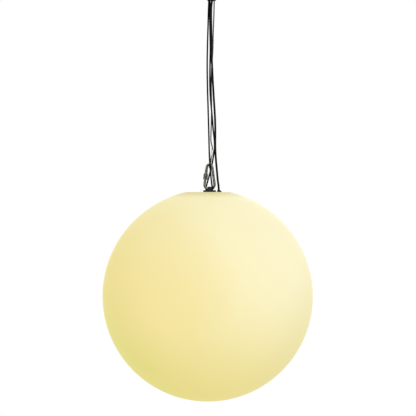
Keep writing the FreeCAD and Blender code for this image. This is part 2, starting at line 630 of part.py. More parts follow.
def gate():
    """Round bar, forked at both ends: round the pivot tongue and round the nose tongue."""
    pivot = along_gate(PIVOT_FROM_BEND)
    end = along_gate(NOSE_FROM_BEND - RUNNING_GAP)
    beyond = along_gate(PIVOT_FROM_BEND - 2 * GATE_RADIUS)
    knuckle = cross_pin(pivot, GATE_RADIUS, 2 * GATE_RADIUS)
    bar = rod_between(pivot, end, GATE_RADIUS)
    bar = bar.fuse(knuckle.common(rod_between(beyond, end, GATE_RADIUS)))
    slot_width = TONGUE_THICKNESS + 2 * RUNNING_GAP
    slot_end = NOSE_FROM_BEND - NOSE_TONGUE_LENGTH - 2 * RUNNING_GAP
    bar = bar.cut(cross_pin(pivot, ROD_RADIUS + 2 * RUNNING_GAP, slot_width))
    for middle in (pivot - GATE_DOWN * (HOOK_LENGTH / 2), along_gate(slot_end + HOOK_LENGTH / 2)):
        slot = slab(V(0, 0, 0), slot_width)
        slot.Placement = turned_placement(middle, GATE_DOWN)
        bar = bar.cut(slot)
    across = 3 * GATE_RADIUS
    bar = bar.cut(cross_pin(pivot, PIN_RADIUS + HINGE_GAP, across))
    # notch that leaves the nose pin on the gate's outer side
    notch_radius = PIN_RADIUS + RUNNING_GAP
    bar = bar.cut(cross_pin(nose_pin_place(), notch_radius, across))
    notch = Part.makeBox(2 * notch_radius, across, across, V(-notch_radius, -across / 2, 0))
    notch.Placement = turned_placement(nose_pin_place(), GATE_OUTWARD)
    return bar.cut(notch).removeSplitter()


def turned_placement(place, direction):
    """Placement that turns +Z about Y to a direction in the hook's plane."""
    turn = math.degrees(math.atan2(direction.x, direction.z))
    return FreeCAD.Placement(place, FreeCAD.Rotation(V(0, 1, 0), turn))


def gate_sleeve():
    """Fluted locking sleeve, free to travel along the gate and over the nose."""
    first = along_gate(SLEEVE_FROM_BEND)
    last = along_gate(SLEEVE_FROM_BEND + SLEEVE_LENGTH)
    sleeve = rod_between(first, last, SLEEVE_OUTER_RADIUS)
    ends = [edge for edge in sleeve.Edges if edge.Closed]
    sleeve = sleeve.makeChamfer(SLEEVE_CHAMFER, ends)
    axis = (last - first).normalize()
    sideways = V(0, 1, 0)
    for step in range(SLEEVE_FLUTES):
        turn = FreeCAD.Rotation(axis, 360.0 * step / SLEEVE_FLUTES)
        offset = turn.multVec(sideways) * (SLEEVE_OUTER_RADIUS + FLUTE_OUTSET)
        groove = rod_between(first + offset, last + offset, FLUTE_RADIUS)
        sleeve = sleeve.cut(groove)
    return sleeve.cut(rod_between(first, last, GATE_RADIUS + RUNNING_GAP))


# ---------------------------------------------------------------- wire rope and its ends
def eye_corners(centre_z, mouth_z):
    """Corners of the rope's way round a thimble, in the YZ plane, from one leg to the other."""
    away = 1 if centre_z > mouth_z else -1
    leg = math.hypot(ROPE_PAIR_OFFSET, mouth_z - centre_z)
    half_gap = math.atan2(ROPE_PAIR_OFFSET, abs(mouth_z - centre_z))
    first_angle = half_gap + math.acos(ROPE_LINE_RADIUS / leg)
    sweep = 2 * math.pi - 2 * first_angle
    step = sweep / EYE_CORNERS
    reach = ROPE_LINE_RADIUS / math.cos(step / 2)
    corners = []
    for index in range(EYE_CORNERS):
        turn = first_angle + step * (index + 0.5)
        corners.append((-reach * math.sin(turn), centre_z - away * reach * math.cos(turn)))
    return corners


def leaned(x, y, z):
    """Place of the lower eye, turned with it about the narrow bend's centre."""
    turn = math.radians(LOWER_EYE_LEAN_DEG)
    across, up = x - HOOK_X, z - NARROW_BEND_Z
    return (HOOK_X + across * math.cos(turn) + up * math.sin(turn), y,
            NARROW_BEND_Z + up * math.cos(turn) - across * math.sin(turn))


def leaned_shape(shape):
    """Shape of the lower eye, turned with it about the narrow bend's centre."""
    return shape.rotate(V(HOOK_X, 0, NARROW_BEND_Z), V(0, 1, 0), LOWER_EYE_LEAN_DEG)


def wire_rope():
    """One rope from its dead end in the lower ferrule to its dead end in the upper ferrule."""
    lower = [(LOWER_EYE_X, y, z) for y, z in eye_corners(LOWER_EYE_Z, LOWER_MOUTH_Z)]
    upper = [(0.0, y, z) for y, z in eye_corners(UPPER_EYE_Z, UPPER_MOUTH_Z)]
    lower_end = LOWER_MOUTH_Z + FERRULE_LENGTH + DEAD_END_LENGTH
    upper_end = UPPER_MOUTH_Z - FERRULE_LENGTH - DEAD_END_LENGTH
    route = [(LOWER_EYE_X, -ROPE_PAIR_OFFSET, lower_end),
             (LOWER_EYE_X, -ROPE_PAIR_OFFSET, LOWER_MOUTH_Z + RUNNING_GAP)]
    route += lower
    route += [(LOWER_EYE_X, ROPE_PAIR_OFFSET, LOWER_MOUTH_Z + RUNNING_GAP),
              (LOWER_EYE_X, ROPE_PAIR_OFFSET, LOWER_MOUTH_Z + FERRULE_LENGTH + ROPE_LEAD)]
    route = [leaned(*point) for point in route]
    route += ROPE_ROUTE
    route += [(0.0, -ROPE_PAIR_OFFSET, upper_end),
              (0.0, -ROPE_PAIR_OFFSET, UPPER_MOUTH_Z - RUNNING_GAP)]
    route += upper
    route += [(0.0, ROPE_PAIR_OFFSET, UPPER_MOUTH_Z - RUNNING_GAP),
              (0.0, ROPE_PAIR_OFFSET, upper_end)]
    return tube(route, ROPE_RADIUS, "wire_rope")


def oval_block(x, low_z, radius):
    """Upright block of oval section round the two rope legs."""
    half = ROPE_PAIR_OFFSET
    outline = [line(V(x + radius, -half, low_z), V(x + radius, half, low_z)),
               arc(V(x + radius, half, low_z), V(x, half + radius, low_z), V(x - radius, half, low_z)),
               line(V(x - radius, half, low_z), V(x - radius, -half, low_z)),
               arc(V(x - radius, -half, low_z), V(x, -half - radius, low_z), V(x + radius, -half, low_z))]
    return Part.Face(Part.Wire(outline)).extrude(V(0, 0, FERRULE_LENGTH))


def ferrule(x, low_z):
    """Pressed oval sleeve round the two rope legs."""
    body = oval_block(x, low_z, ROPE_RADIUS + FERRULE_WALL)
    rims = [edge for edge in body.Edges if edge.BoundBox.ZLength < HINGE_GAP]
    body = body.makeChamfer(FERRULE_CHAMFER, rims)
    return body.cut(oval_block(x, low_z, ROPE_RADIUS + FERRULE_BORE_GAP))


def teardrop(x, centre_z, reach, tip, thickness):
    """Plate with a round end and two tangents that meet at a tip, above or below its centre."""
    side = math.copysign(1, tip)
    angle = math.acos(reach / abs(tip))
    left = V(0, -reach * math.sin(angle), side * reach * math.cos(angle))
    right = V(0, -left.y, left.z)
    apex = V(0, 0, tip)
    edges = [line(apex, left), arc(left, V(0, 0, -side * reach), right), line(right, apex)]
    plate = Part.Face(Part.Wire(edges)).extrude(V(thickness, 0, 0))
    plate.translate(V(x - thickness / 2, 0, centre_z))
    return plate


def thimble(x, centre_z, mouth_z):
    """Metal liner of a rope eye: a round end and two straight legs with blunt tips."""
    tip = THIMBLE_TIP_SHARE * (mouth_z - centre_z)
    outer = THIMBLE_INNER_RADIUS + THIMBLE_WALL
    inner_tip = tip * THIMBLE_INNER_RADIUS / outer
    width = 2 * THIMBLE_HALF_WIDTH
    liner = teardrop(x, centre_z, outer, tip, width)
    liner = liner.cut(teardrop(x, centre_z, THIMBLE_INNER_RADIUS, inner_tip, 2 * width))
    blunt_z = centre_z + tip * THIMBLE_BLUNT_SHARE
    blunt = Part.makeBox(2 * width, 2 * outer, abs(tip), V(x - width, -outer, min(blunt_z, blunt_z + tip)))
    return liner.cut(blunt)


def hanging_ring():
    return Part.makeTorus(RING_RADIUS, RING_ROD_RADIUS, V(0, 0, 0), V(0, 1, 0))


# ---------------------------------------------------------------- cord, cable, coil and ties
def hanging_cord():
    """Cord that goes up behind, over the ring and down in front."""
    top = -math.sqrt(RING_RADIUS ** 2 - CORD_BIGHT_X ** 2) + CORD_BIGHT_HALF
    bight = [(CORD_BIGHT_X, CORD_BIGHT_HALF, top), (CORD_BIGHT_X, -CORD_BIGHT_HALF, top)]
    route = REAR_CORD_ROUTE + bight + FRONT_CORD_ROUTE[::-1]
    return tube(route, CORD_RADIUS, "hanging_cord")


def power_cable():
    return tube(CABLE_ROUTE, CABLE_RADIUS, "power_cable")


def cable_coil():
    """Outer shape of the wound turns: a ring about an axis along Y."""
    corner = V(COIL_RADIUS - COIL_DEPTH / 2, -COIL_WIDTH / 2, 0)
    section = Part.makePlane(COIL_DEPTH, COIL_WIDTH, corner, V(0, 0, 1))
    ring = section.revolve(V(0, 0, 0), V(0, 1, 0), 360)
    rims = [edge for edge in ring.Edges if edge.Closed and edge.BoundBox.YLength < HINGE_GAP]
    ring = ring.makeFillet(COIL_ROUND, rims)
    ring.translate(V(COIL_CENTRE_X, 0, COIL_CENTRE_Z))
    return ring


def rounded_block(low, high, corner):
    """Block between two corners, with round upright edges."""
    size = high - low
    box = Part.makeBox(size.x, size.y, size.z, low)
    upright = [edge for edge in box.Edges if edge.BoundBox.ZLength > size.z / 2]
    return box.makeFillet(corner, upright)


def band(low, high, corner, thickness):
    """Flat closed band with round corners, lying round a bundle."""
    grow = V(thickness, thickness, 0)
    return rounded_block(low - grow, high + grow, corner + thickness).cut(rounded_block(low, high, corner))


def coil_strap():
    """Strap round the coil's near side and the upper ferrule."""
    half = COIL_WIDTH / 2 + RUNNING_GAP
    inner_radius = COIL_RADIUS - COIL_DEPTH / 2
    near_side = COIL_CENTRE_X - math.sqrt(inner_radius ** 2 - (STRAP_HEIGHT / 2) ** 2)
    low = V(-ROPE_RADIUS - FERRULE_WALL - RUNNING_GAP, -half, COIL_CENTRE_Z - STRAP_HEIGHT / 2)
    high = V(near_side + RUNNING_GAP, half, COIL_CENTRE_Z + STRAP_HEIGHT / 2)
    return band(low, high, COIL_ROUND + RUNNING_GAP, STRAP_THICKNESS)


def bundle_tie():
    """Tie that gathers the rope, the cord's legs and the cable."""
    low = V(TIE_LEFT, TIE_FRONT, TIE_CENTRE_Z - TIE_HEIGHT / 2)
    high = V(TIE_RIGHT, TIE_REAR, TIE_CENTRE_Z + TIE_HEIGHT / 2)
    return band(low, high, CORD_RADIUS, TIE_THICKNESS)


# ---------------------------------------------------------------- cable connector
def tail_place(z):
    return V(TAIL_X, TAIL_Y, z)


def cable_tail():
    """Short end of the cable, from the coil down to the connector."""
    return Part.makeCylinder(CABLE_RADIUS, TAIL_LENGTH, tail_place(BOOT_TOP_Z))


def connector_boot():
    """Tapered, grooved boot on the connector."""
    boot = Part.makeCone(CONNECTOR_RADIUS, BOOT_TIP_RADIUS, BOOT_LENGTH, tail_place(CONNECTOR_TOP_Z))
    for step in range(BOOT_GROOVES):
        z = CONNECTOR_TOP_Z + BOOT_LENGTH * (step + 1) / (BOOT_GROOVES + 1)
        boot = boot.cut(Part.makeTorus(CONNECTOR_RADIUS, BOOT_GROOVE_RADIUS, tail_place(z), V(0, 0, 1)))
    return boot


def connector_body():
    """Round body with a collar that holds the coupling nut, and a socket for the contacts."""
    body = Part.makeCylinder(CONNECTOR_RADIUS, CONNECTOR_LENGTH, tail_place(CONNECTOR_LOW_Z))
    collar_radius = CONNECTOR_NUT_RADIUS - CONNECTOR_WALL - RUNNING_GAP
    collar = Part.makeCylinder(collar_radius, CONNECTOR_COLLAR, tail_place(NUT_TOP_Z - 2 * CONNECTOR_COLLAR))
    socket = Part.makeCylinder(CONNECTOR_RADIUS - CONNECTOR_WALL, CONNECTOR_SOCKET_DEPTH,
                               tail_place(CONNECTOR_LOW_Z))
    return body.fuse(collar).cut(socket).removeSplitter()


def connector_pins():
    """Two round contacts in the socket."""
    low = CONNECTOR_LOW_Z + CONNECTOR_SOCKET_DEPTH - PIN_CONTACT_LENGTH
    pins = []
    for side in (-1, 1):
        place = tail_place(low) + V(side * PIN_CONTACT_SPACING / 2, 0, 0)
        pins.append(Part.makeCylinder(PIN_CONTACT_RADIUS, PIN_CONTACT_LENGTH, place))
    return Part.makeCompound(pins)


def connector_nut():
    """Ribbed coupling nut that turns freely behind the body's collar."""
    low = tail_place(NUT_TOP_Z - CONNECTOR_NUT_LENGTH)
    nut = Part.makeCylinder(CONNECTOR_NUT_RADIUS, CONNECTOR_NUT_LENGTH, low)
    for x, y in around(CONNECTOR_RIBS, CONNECTOR_NUT_RADIUS + CONNECTOR_WALL / 2, TAIL_X, TAIL_Y):
        nut = nut.cut(Part.makeCylinder(CONNECTOR_WALL, CONNECTOR_NUT_LENGTH, V(x, y, low.z)))
    hollow_length = CONNECTOR_NUT_LENGTH - CONNECTOR_COLLAR + RUNNING_GAP
    hollow = Part.makeCylinder(CONNECTOR_NUT_RADIUS - CONNECTOR_WALL, hollow_length, low)
    throat = Part.makeCylinder(CONNECTOR_RADIUS + RUNNING_GAP, CONNECTOR_NUT_LENGTH, low)
    return nut.cut(hollow).cut(throat)


# ---------------------------------------------------------------- cable entry, lampholder, lamp
def cable_grommet():
    """Tapered rubber grommet in the cover, with a foot above and below it."""
    x = GROMMET_X
    upward = V(0, 0, 1)
    flange = Part.makeCylinder(GROMMET_RADIUS, GROMMET_FLANGE, V(x, 0, FLAT_TOP_Z))
    base = Part.Circle(V(x, 0, FLAT_TOP_Z + GROMMET_FLANGE), upward, GROMMET_CONE_RADIUS)
    tip = Part.Circle(V(x - GROMMET_LEAN, 0, FLAT_TOP_Z + GROMMET_HEIGHT), upward, GROMMET_TIP_RADIUS)
    cone = Part.makeLoft([Part.Wire([base.toShape()]), Part.Wire([tip.toShape()])], True)
    neck = Part.makeCylinder(GROMMET_NECK_RADIUS, COVER_THICKNESS + GROMMET_FLANGE, V(x, 0, COVER_UNDER_Z))
    foot_place = V(x, 0, COVER_UNDER_Z - GROMMET_BELOW)
    foot = Part.makeCone(GROMMET_NECK_RADIUS, GROMMET_RADIUS, GROMMET_BELOW, foot_place)
    return flange.fuse(cone).fuse(neck).fuse(foot).removeSplitter()


def holder_bracket():
    """Bent strip: clamped under the cover by the lug's nut, with a shelf on the lampholder."""
    thick = BRACKET_THICKNESS
    width = BRACKET_WIDTH
    top = BRACKET_TOP_Z
    under = HOLDER_TOP_Z
    reach = STEM_RADIUS + NUT_ACROSS_FLATS / 2 + thick
    left = GLOBE_CENTRE_X - reach
    right = LUG_X + STEM_RADIUS + thick
    plate = Part.makeBox(right - left, width, thick, V(left, -width / 2, top - thick))
    web = Part.makeBox(thick, width, top - under, V(left, -width / 2, under))
    shelf = Part.makeBox(reach + width / 2, width, thick, V(left, -width / 2, under))
    strip = plate.fuse(web).fuse(shelf)
    holes = [(LUG_X, 0, STEM_RADIUS + RUNNING_GAP, top - thick)]
    holes += [(x, y, KNOT_RADIUS + 2 * RUNNING_GAP, top - thick) for x, y in cord_hole_places()]
    holes += [(GLOBE_CENTRE_X, 0, LEAD_RADIUS + 2 * RUNNING_GAP, under)]
    for x, y, radius, z in holes:
        strip = strip.cut(Part.makeCylinder(radius, thick, V(x, y, z)))
    return strip.removeSplitter()


def lampholder_body():
    """Cup that hangs from the bracket, open downwards."""
    top = HOLDER_TOP_Z
    bore = LEAD_RADIUS + RUNNING_GAP
    inner = HOLDER_RADIUS - HOLDER_WALL
    outline = [(bore, top), (HOLDER_TOP_RADIUS, top), (HOLDER_RADIUS, top - HOLDER_TAPER),
               (HOLDER_RADIUS, top - HOLDER_LENGTH), (inner, top - HOLDER_LENGTH),
               (inner, SOCKET_FLOOR_Z), (bore, SOCKET_FLOOR_Z)]
    return revolve_profile(polygon_edges(outline), GLOBE_CENTRE_X)


def lampholder_shell():
    """Metal screw shell on the cup's floor."""
    low = LAMP_TOP_Z - LAMP_CAP_LENGTH + HINGE_GAP
    height = SOCKET_FLOOR_Z - low
    outer = Part.makeCylinder(SCREW_SHELL_RADIUS, height, V(GLOBE_CENTRE_X, 0, low))
    inner_radius = SCREW_SHELL_RADIUS - SCREW_SHELL_WALL
    return outer.cut(Part.makeCylinder(inner_radius, height, V(GLOBE_CENTRE_X, 0, low)))


def lampholder_contact():
    """Sprung centre contact between the cup's floor and the lamp's tip."""
    wide = CONTACT_WIDTH
    left = GLOBE_CENTRE_X - wide / 2
    spring = Part.makeBox(wide, wide / 2, CONTACT_LENGTH, V(left, LEAD_RADIUS + RUNNING_GAP, LAMP_TOP_Z))
    pad = Part.makeBox(wide, wide, CONTACT_THICKNESS, V(left, -wide / 2, LAMP_TOP_Z))
    return spring.fuse(pad).removeSplitter()


def lamp_cap():
    """Lamp's screw cap with its tip."""
    top = LAMP_TOP_Z
    outline = polygon_edges([(0, top), (LAMP_CAP_TIP, top), (LAMP_CAP_RADIUS, top - LAMP_CAP_TIP),
                             (LAMP_CAP_RADIUS, top - LAMP_CAP_LENGTH), (0, top - LAMP_CAP_LENGTH)])
    return revolve_profile(outline, GLOBE_CENTRE_X)


def lamp_bulb():
    """Opal bulb: a cone from the cap to a round end."""
    top = LAMP_TOP_Z - LAMP_CAP_LENGTH
    low = top - BULB_LENGTH
    centre = low + BULB_RADIUS
    join_turn = math.radians(BULB_JOIN_DEG)
    join = V(BULB_RADIUS * math.cos(join_turn), 0, centre + BULB_RADIUS * math.sin(join_turn))
    side = V(join.x, 0, 2 * centre - join.z)
    axis_top = V(0, 0, top)
    neck = V(BULB_NECK_RADIUS, 0, top)
    pole = V(0, 0, low)
    outline = [line(axis_top, neck), line(neck, join), arc(join, side, pole), line(pole, axis_top)]
    return revolve_profile(outline, GLOBE_CENTRE_X)


def inner_lead():
    """Cable's way from the grommet to the lampholder."""
    start = V(GROMMET_X, 0, COVER_UNDER_Z - GROMMET_BELOW)
    run = V(GLOBE_CENTRE_X, 0, HOLDER_TOP_Z) - start
    route = [(start.x + across * run.x, bow, start.z + down * run.z) for across, bow, down in LEAD_WAY]
    route += [(GLOBE_CENTRE_X, 0, SOCKET_FLOOR_Z)]
    return tube(route, LEAD_RADIUS - HINGE_GAP, "inner_lead")


# ---------------------------------------------------------------- writing the parts
def build():
    return {
        "globe_shell": globe_shell(),
        "cover_plate": cover_plate(),
        "cover_gasket": cover_gasket(),
        "cover_screws": cover_screws(),
        "boss_inserts": boss_inserts(),
        "hanging_lug": hanging_lug(),
        "lug_washer": lug_washer(),
        "lug_nut": lug_nut(),
        "cord_knots": cord_knots(),
        "cable_grommet": cable_grommet(),
        "inner_lead": inner_lead(),
        "holder_bracket": holder_bracket(),
        "lampholder_body": lampholder_body(),
        "lampholder_shell": lampholder_shell(),
        "lampholder_contact": lampholder_contact(),
        "lamp_cap": lamp_cap(),
        "lamp_bulb": lamp_bulb(),
        "hook_body": hook_body(),
        "gate_pivot_pin": cross_pin(along_gate(PIVOT_FROM_BEND), PIN_RADIUS, PIN_LENGTH),
        "nose_pin": cross_pin(nose_pin_place(), PIN_RADIUS, PIN_LENGTH),
        "hook_gate": gate(),
        "gate_sleeve": gate_sleeve(),
        "wire_rope": wire_rope(),
        "lower_ferrule": leaned_shape(ferrule(LOWER_EYE_X, LOWER_MOUTH_Z)),
        "upper_ferrule": ferrule(0.0, UPPER_MOUTH_Z - FERRULE_LENGTH),
        "lower_thimble": leaned_shape(thimble(LOWER_EYE_X, LOWER_EYE_Z, LOWER_MOUTH_Z)),
        "upper_thimble": thimble(0.0, UPPER_EYE_Z, UPPER_MOUTH_Z),
        "hanging_ring": hanging_ring(),
        "hanging_cord": hanging_cord(),
        "bundle_tie": bundle_tie(),
        "power_cable": power_cable(),
        "cable_coil": cable_coil(),
        "coil_strap": coil_strap(),
        "cable_tail": cable_tail(),
        "connector_boot": connector_boot(),
        "connector_body": connector_body(),
        "connector_pins": connector_pins(),
        "connector_nut": connector_nut(),
    }


os.makedirs("parts", exist_ok=True)
for node, shape in build().items():
    shape.exportStep(os.path.join("parts", node + ".step"))
    print(f"{node}: {len(shape.Solids)} solid(s), valid {shape.isValid()}, volume {shape.Volume:.1f}")
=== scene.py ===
"""Looks of the hanging garden globe light.  Metres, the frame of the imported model."""
import math

import bpy
from mathutils import Matrix, Vector


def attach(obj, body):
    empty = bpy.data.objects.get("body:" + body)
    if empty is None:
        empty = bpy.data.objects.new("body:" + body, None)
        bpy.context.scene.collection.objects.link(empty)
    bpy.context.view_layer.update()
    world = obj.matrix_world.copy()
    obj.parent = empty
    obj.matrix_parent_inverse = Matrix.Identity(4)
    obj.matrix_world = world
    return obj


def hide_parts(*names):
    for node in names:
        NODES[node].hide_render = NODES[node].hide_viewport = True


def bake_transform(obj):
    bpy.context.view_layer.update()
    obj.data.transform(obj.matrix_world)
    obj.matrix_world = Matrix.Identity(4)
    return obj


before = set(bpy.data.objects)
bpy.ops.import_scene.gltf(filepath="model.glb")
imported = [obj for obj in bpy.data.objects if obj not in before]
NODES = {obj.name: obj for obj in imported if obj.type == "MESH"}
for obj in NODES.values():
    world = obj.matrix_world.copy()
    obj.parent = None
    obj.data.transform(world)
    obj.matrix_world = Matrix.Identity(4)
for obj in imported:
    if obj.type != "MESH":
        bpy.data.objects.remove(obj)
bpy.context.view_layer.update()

MM = 0.001
FULL_TURN = 2 * math.pi

# ---------------------------------------------------------------- view
PIXEL = 1.905 * MM                  # one pixel of the view, at the globe's own plane
VIEW_PIXELS = 416
MIDDLE_PIXEL = VIEW_PIXELS / 2
AXIS_COLUMN = 214.0                 # pixel column at which x is 0
TOP_ROW_HEIGHT = -100 * MM          # height of the view's upper edge
VIEW_CENTRE = Vector(((MIDDLE_PIXEL - AXIS_COLUMN) * PIXEL, 0, TOP_ROW_HEIGHT - MIDDLE_PIXEL * PIXEL))
LENS = 150.0
SENSOR = 36.0
VIEW_DISTANCE = VIEW_PIXELS * PIXEL * LENS / SENSOR

# ---------------------------------------------------------------- places on the object
GLOBE_CENTRE = Vector((-12.0, 0, -663.8)) * MM
GLOBE_RADIUS = 200 * MM
FOOT_CENTRE = Vector((-8.5, 0, -463.1)) * MM       # rolled edge of the lug's round foot
FOOT_RING_RADIUS = 11.15 * MM
FOOT_BEAD_RADIUS = 1.0 * MM

# ---------------------------------------------------------------- cord, cable and its wound spare length
CORD_RADIUS = 1.5 * MM
CABLE_RADIUS = 2.0 * MM
COIL_CENTRE = Vector((42, 0, -38)) * MM
COIL_RADIUS = 23 * MM               # middle of the turns
COIL_PITCH = 4.1 * MM
COIL_LAYERS = 5
COIL_ROWS = 4
TURN_POINTS = 24                    # control points of one turn
CHANGE_SHARE = 0.12                 # share of a turn on each side of a change of layer or row

# ---------------------------------------------------------------- wire rope and its eyes
ROPE_RADIUS = 1.25 * MM
ROPE_STRANDS = 6
STRAND_LAY = 13 * MM
STRAND_SWELL = 1.02                 # strands and core press into each other
CORE_SWELL = 1.2
DARK_STRETCH_FOOT = -340 * MM              # heights between which the rope is darker
DARK_STRETCH_HEAD = -208 * MM
DARK_STRETCH_FADE = 18 * MM
EYE_CORNERS = 6                     # control points round a thimble
EYE_LINE_RADIUS = 6.15 * MM         # the rope's middle line round a thimble
LEG_OFFSET = 1.3 * MM               # from the rope's axis to each leg of an eye
MOUTH_LIP = 0.3 * MM                # the legs close this far past a thimble's mouth
LOWER_EYE_HEIGHT = -413.26 * MM
LOWER_MOUTH = -397.06 * MM
DEAD_END = -383.16 * MM             # cut end of the rope, at the lower ferrule
LEAD_END = -381.66 * MM             # top of the loaded leg's straight lead
UPPER_EYE_HEIGHT = -14.7 * MM
UPPER_MOUTH = -30.9 * MM
UPPER_END = -44.8 * MM              # foot of the upper eye's two legs
NARROW_BEND = Vector((-8.5, 0, -419.0)) * MM
LOWER_EYE_LEAN = math.radians(9.4)  # the rope's lower eye leans on the hook's narrow bend

# ---------------------------------------------------------------- routes
HANGING_CORD_ROUTE = [
    (-0.0151, 0.0060, -0.4694),
    (-0.0151, 0.0060, -0.4614),
    (-0.0143, 0.0063, -0.4530),
    (-0.0112, 0.0066, -0.4425),
    (-0.0079, 0.0065, -0.4300),
    (-0.0038, 0.0062, -0.4140),
    (-0.0016, 0.0058, -0.4000),
    (0.0014, 0.0054, -0.3830),
    (0.0006, 0.0052, -0.3640),
    (-0.0018, 0.0050, -0.3460),
    (-0.0033, 0.0048, -0.3220),
    (-0.0067, 0.0046, -0.2900),
    (-0.0081, 0.0045, -0.2580),
    (-0.0077, 0.0045, -0.2260),
    (-0.0068, 0.0044, -0.1900),
    (-0.0078, 0.0043, -0.1500),
    (-0.0080, 0.0042, -0.1120),
    (-0.0076, 0.0042, -0.0820),
    (-0.0062, 0.0042, -0.0520),
    (-0.0064, 0.0045, -0.0280),
    (-0.0064, 0.0045, -0.0068),
    (-0.0064, -0.0045, -0.0068),
    (-0.0064, -0.0045, -0.0280),
    (-0.0076, -0.0042, -0.0520),
    (-0.0084, -0.0042, -0.0820),
    (-0.0104, -0.0042, -0.1120),
    (-0.0112, -0.0043, -0.1460),
    (-0.0124, -0.0044, -0.1840),
    (-0.0131, -0.0046, -0.2220),
    (-0.0127, -0.0048, -0.2580),
    (-0.0116, -0.0050, -0.2960),
    (-0.0104, -0.0053, -0.3340),
    (-0.0096, -0.0066, -0.3660),
    (-0.0090, -0.0086, -0.3920),
    (-0.0083, -0.0097, -0.4080),
    (-0.0069, -0.0096, -0.4230),
    (-0.0060, -0.0087, -0.4370),
    (-0.0044, -0.0076, -0.4495),
    (-0.0031, -0.0066, -0.4614),
    (-0.0031, -0.0066, -0.4694),
]
CABLE_ROUTE = [
    (0.0090, 0.0, -0.4615),
    (0.0090, 0.0, -0.4555),
    (0.0072, -0.0004, -0.4450),
    (0.0058, -0.0012, -0.4280),
    (0.0035, -0.0023, -0.4040),
    (0.0022, -0.0034, -0.3800),
    (0.0026, -0.0039, -0.3540),
    (0.0021, -0.0042, -0.3260),
    (0.0003, -0.0044, -0.2980),
    (-0.0017, -0.0045, -0.2660),
    (-0.0034, -0.0045, -0.2320),
    (-0.0048, -0.0045, -0.1960),
    (-0.0049, -0.0045, -0.1620),
    (-0.0057, -0.0045, -0.1300),
    (-0.0050, -0.0045, -0.1060),
    (0.0008, -0.0048, -0.0840),
    (0.0080, -0.0055, -0.0640),
    (0.0109, -0.0061, -0.0420),
]
CABLE_TAIL = [
    (0.0733, 0.0061, -0.0470),
    (0.0732, 0.0062, -0.0585),
]
ROPE_ROUTE = [
    (-0.0062, 0.0004, -0.3700),
    (-0.0058, -0.0002, -0.3540),
    (-0.0048, 0.0, -0.3280),
    (-0.0046, 0.0001, -0.2960),
    (-0.0057, 0.0, -0.2620),
    (-0.0045, -0.0001, -0.2280),
    (-0.0020, 0.0, -0.1960),
    (-0.0017, 0.0, -0.1660),
    (-0.0003, 0.0001, -0.1340),
    (0.0003, 0.0, -0.1080),
    (0.0004, 0.0, -0.0840),
]


def placed(name, data):
    """New object in the scene, at the origin."""
    thing = bpy.data.objects.new(name, data)
    bpy.context.scene.collection.objects.link(thing)
    return thing


def make_camera():
    """Level view along +Y through a long lens."""
    camera = placed("view", bpy.data.cameras.new("view"))
    camera.data.lens = LENS
    camera.data.sensor_width = SENSOR
    camera.data.clip_end = 50
    camera.location = VIEW_CENTRE - Vector((0, VIEW_DISTANCE, 0))
    camera.rotation_euler = (math.radians(90), 0, 0)
    bpy.context.scene.camera = camera


# ---------------------------------------------------------------- node helpers
class Term:
    """A node's outlet that takes part in Python arithmetic."""

    def __init__(self, graph, socket):
        self.graph = graph
        self.socket = socket

    def math(self, operation, *values):
        return self.graph.term("ShaderNodeMath", 0, dict(enumerate(values)), operation=operation)

    def __add__(self, other):
        return self.math("ADD", self, other)

    def __radd__(self, other):
        return self.math("ADD", other, self)

    def __sub__(self, other):
        return self.math("SUBTRACT", self, other)

    def __rsub__(self, other):
        return self.math("SUBTRACT", other, self)

    def __mul__(self, other):
        return self.math("MULTIPLY", self, other)

    def __rmul__(self, other):
        return self.math("MULTIPLY", other, self)

    def __truediv__(self, other):
        return self.math("DIVIDE", self, other)

    def __pow__(self, other):
        return self.math("POWER", self, other)

    def sin(self):
        return self.math("SINE", self)

    def cos(self):
        return self.math("COSINE", self)

    def size(self):
        return self.math("ABSOLUTE", self)

    def floor(self):
        return self.math("FLOOR", self)

    def greater(self, other):
        return self.math("MAXIMUM", self, other)

    def ramp(self, low, high):
        """0 below low, 1 above high, smooth between."""
        return self.graph.term("ShaderNodeMapRange", 0, {0: self, 1: low, 2: high},
                               interpolation_type="SMOOTHSTEP")


class Graph:
    """Adds nodes to a tree and joins them."""

    def __init__(self, tree):
        self.tree = tree

    def node(self, kind, inputs=None, **settings):
        made = self.tree.nodes.new(kind)
        for key, value in settings.items():
            setattr(made, key, value)
        for key, value in (inputs or {}).items():
            self.feed(made.inputs[key], value)
        return made

    def feed(self, slot, value):
        if isinstance(value, Term):
            self.tree.links.new(value.socket, slot)
        else:
            slot.default_value = value

    def term(self, kind, outlet=0, inputs=None, **settings):
        return Term(self, self.node(kind, inputs, **settings).outputs[outlet])


def linear(red, green, blue):
    """A colour as seen, 0 to 255, as the renderer takes it."""
    channels = []
    for value in (red, green, blue):
        share = value / 255
        channels.append(share / 12.92 if share <= 0.04045 else ((share + 0.055) / 1.055) ** 2.4)
    return (*channels, 1.0)


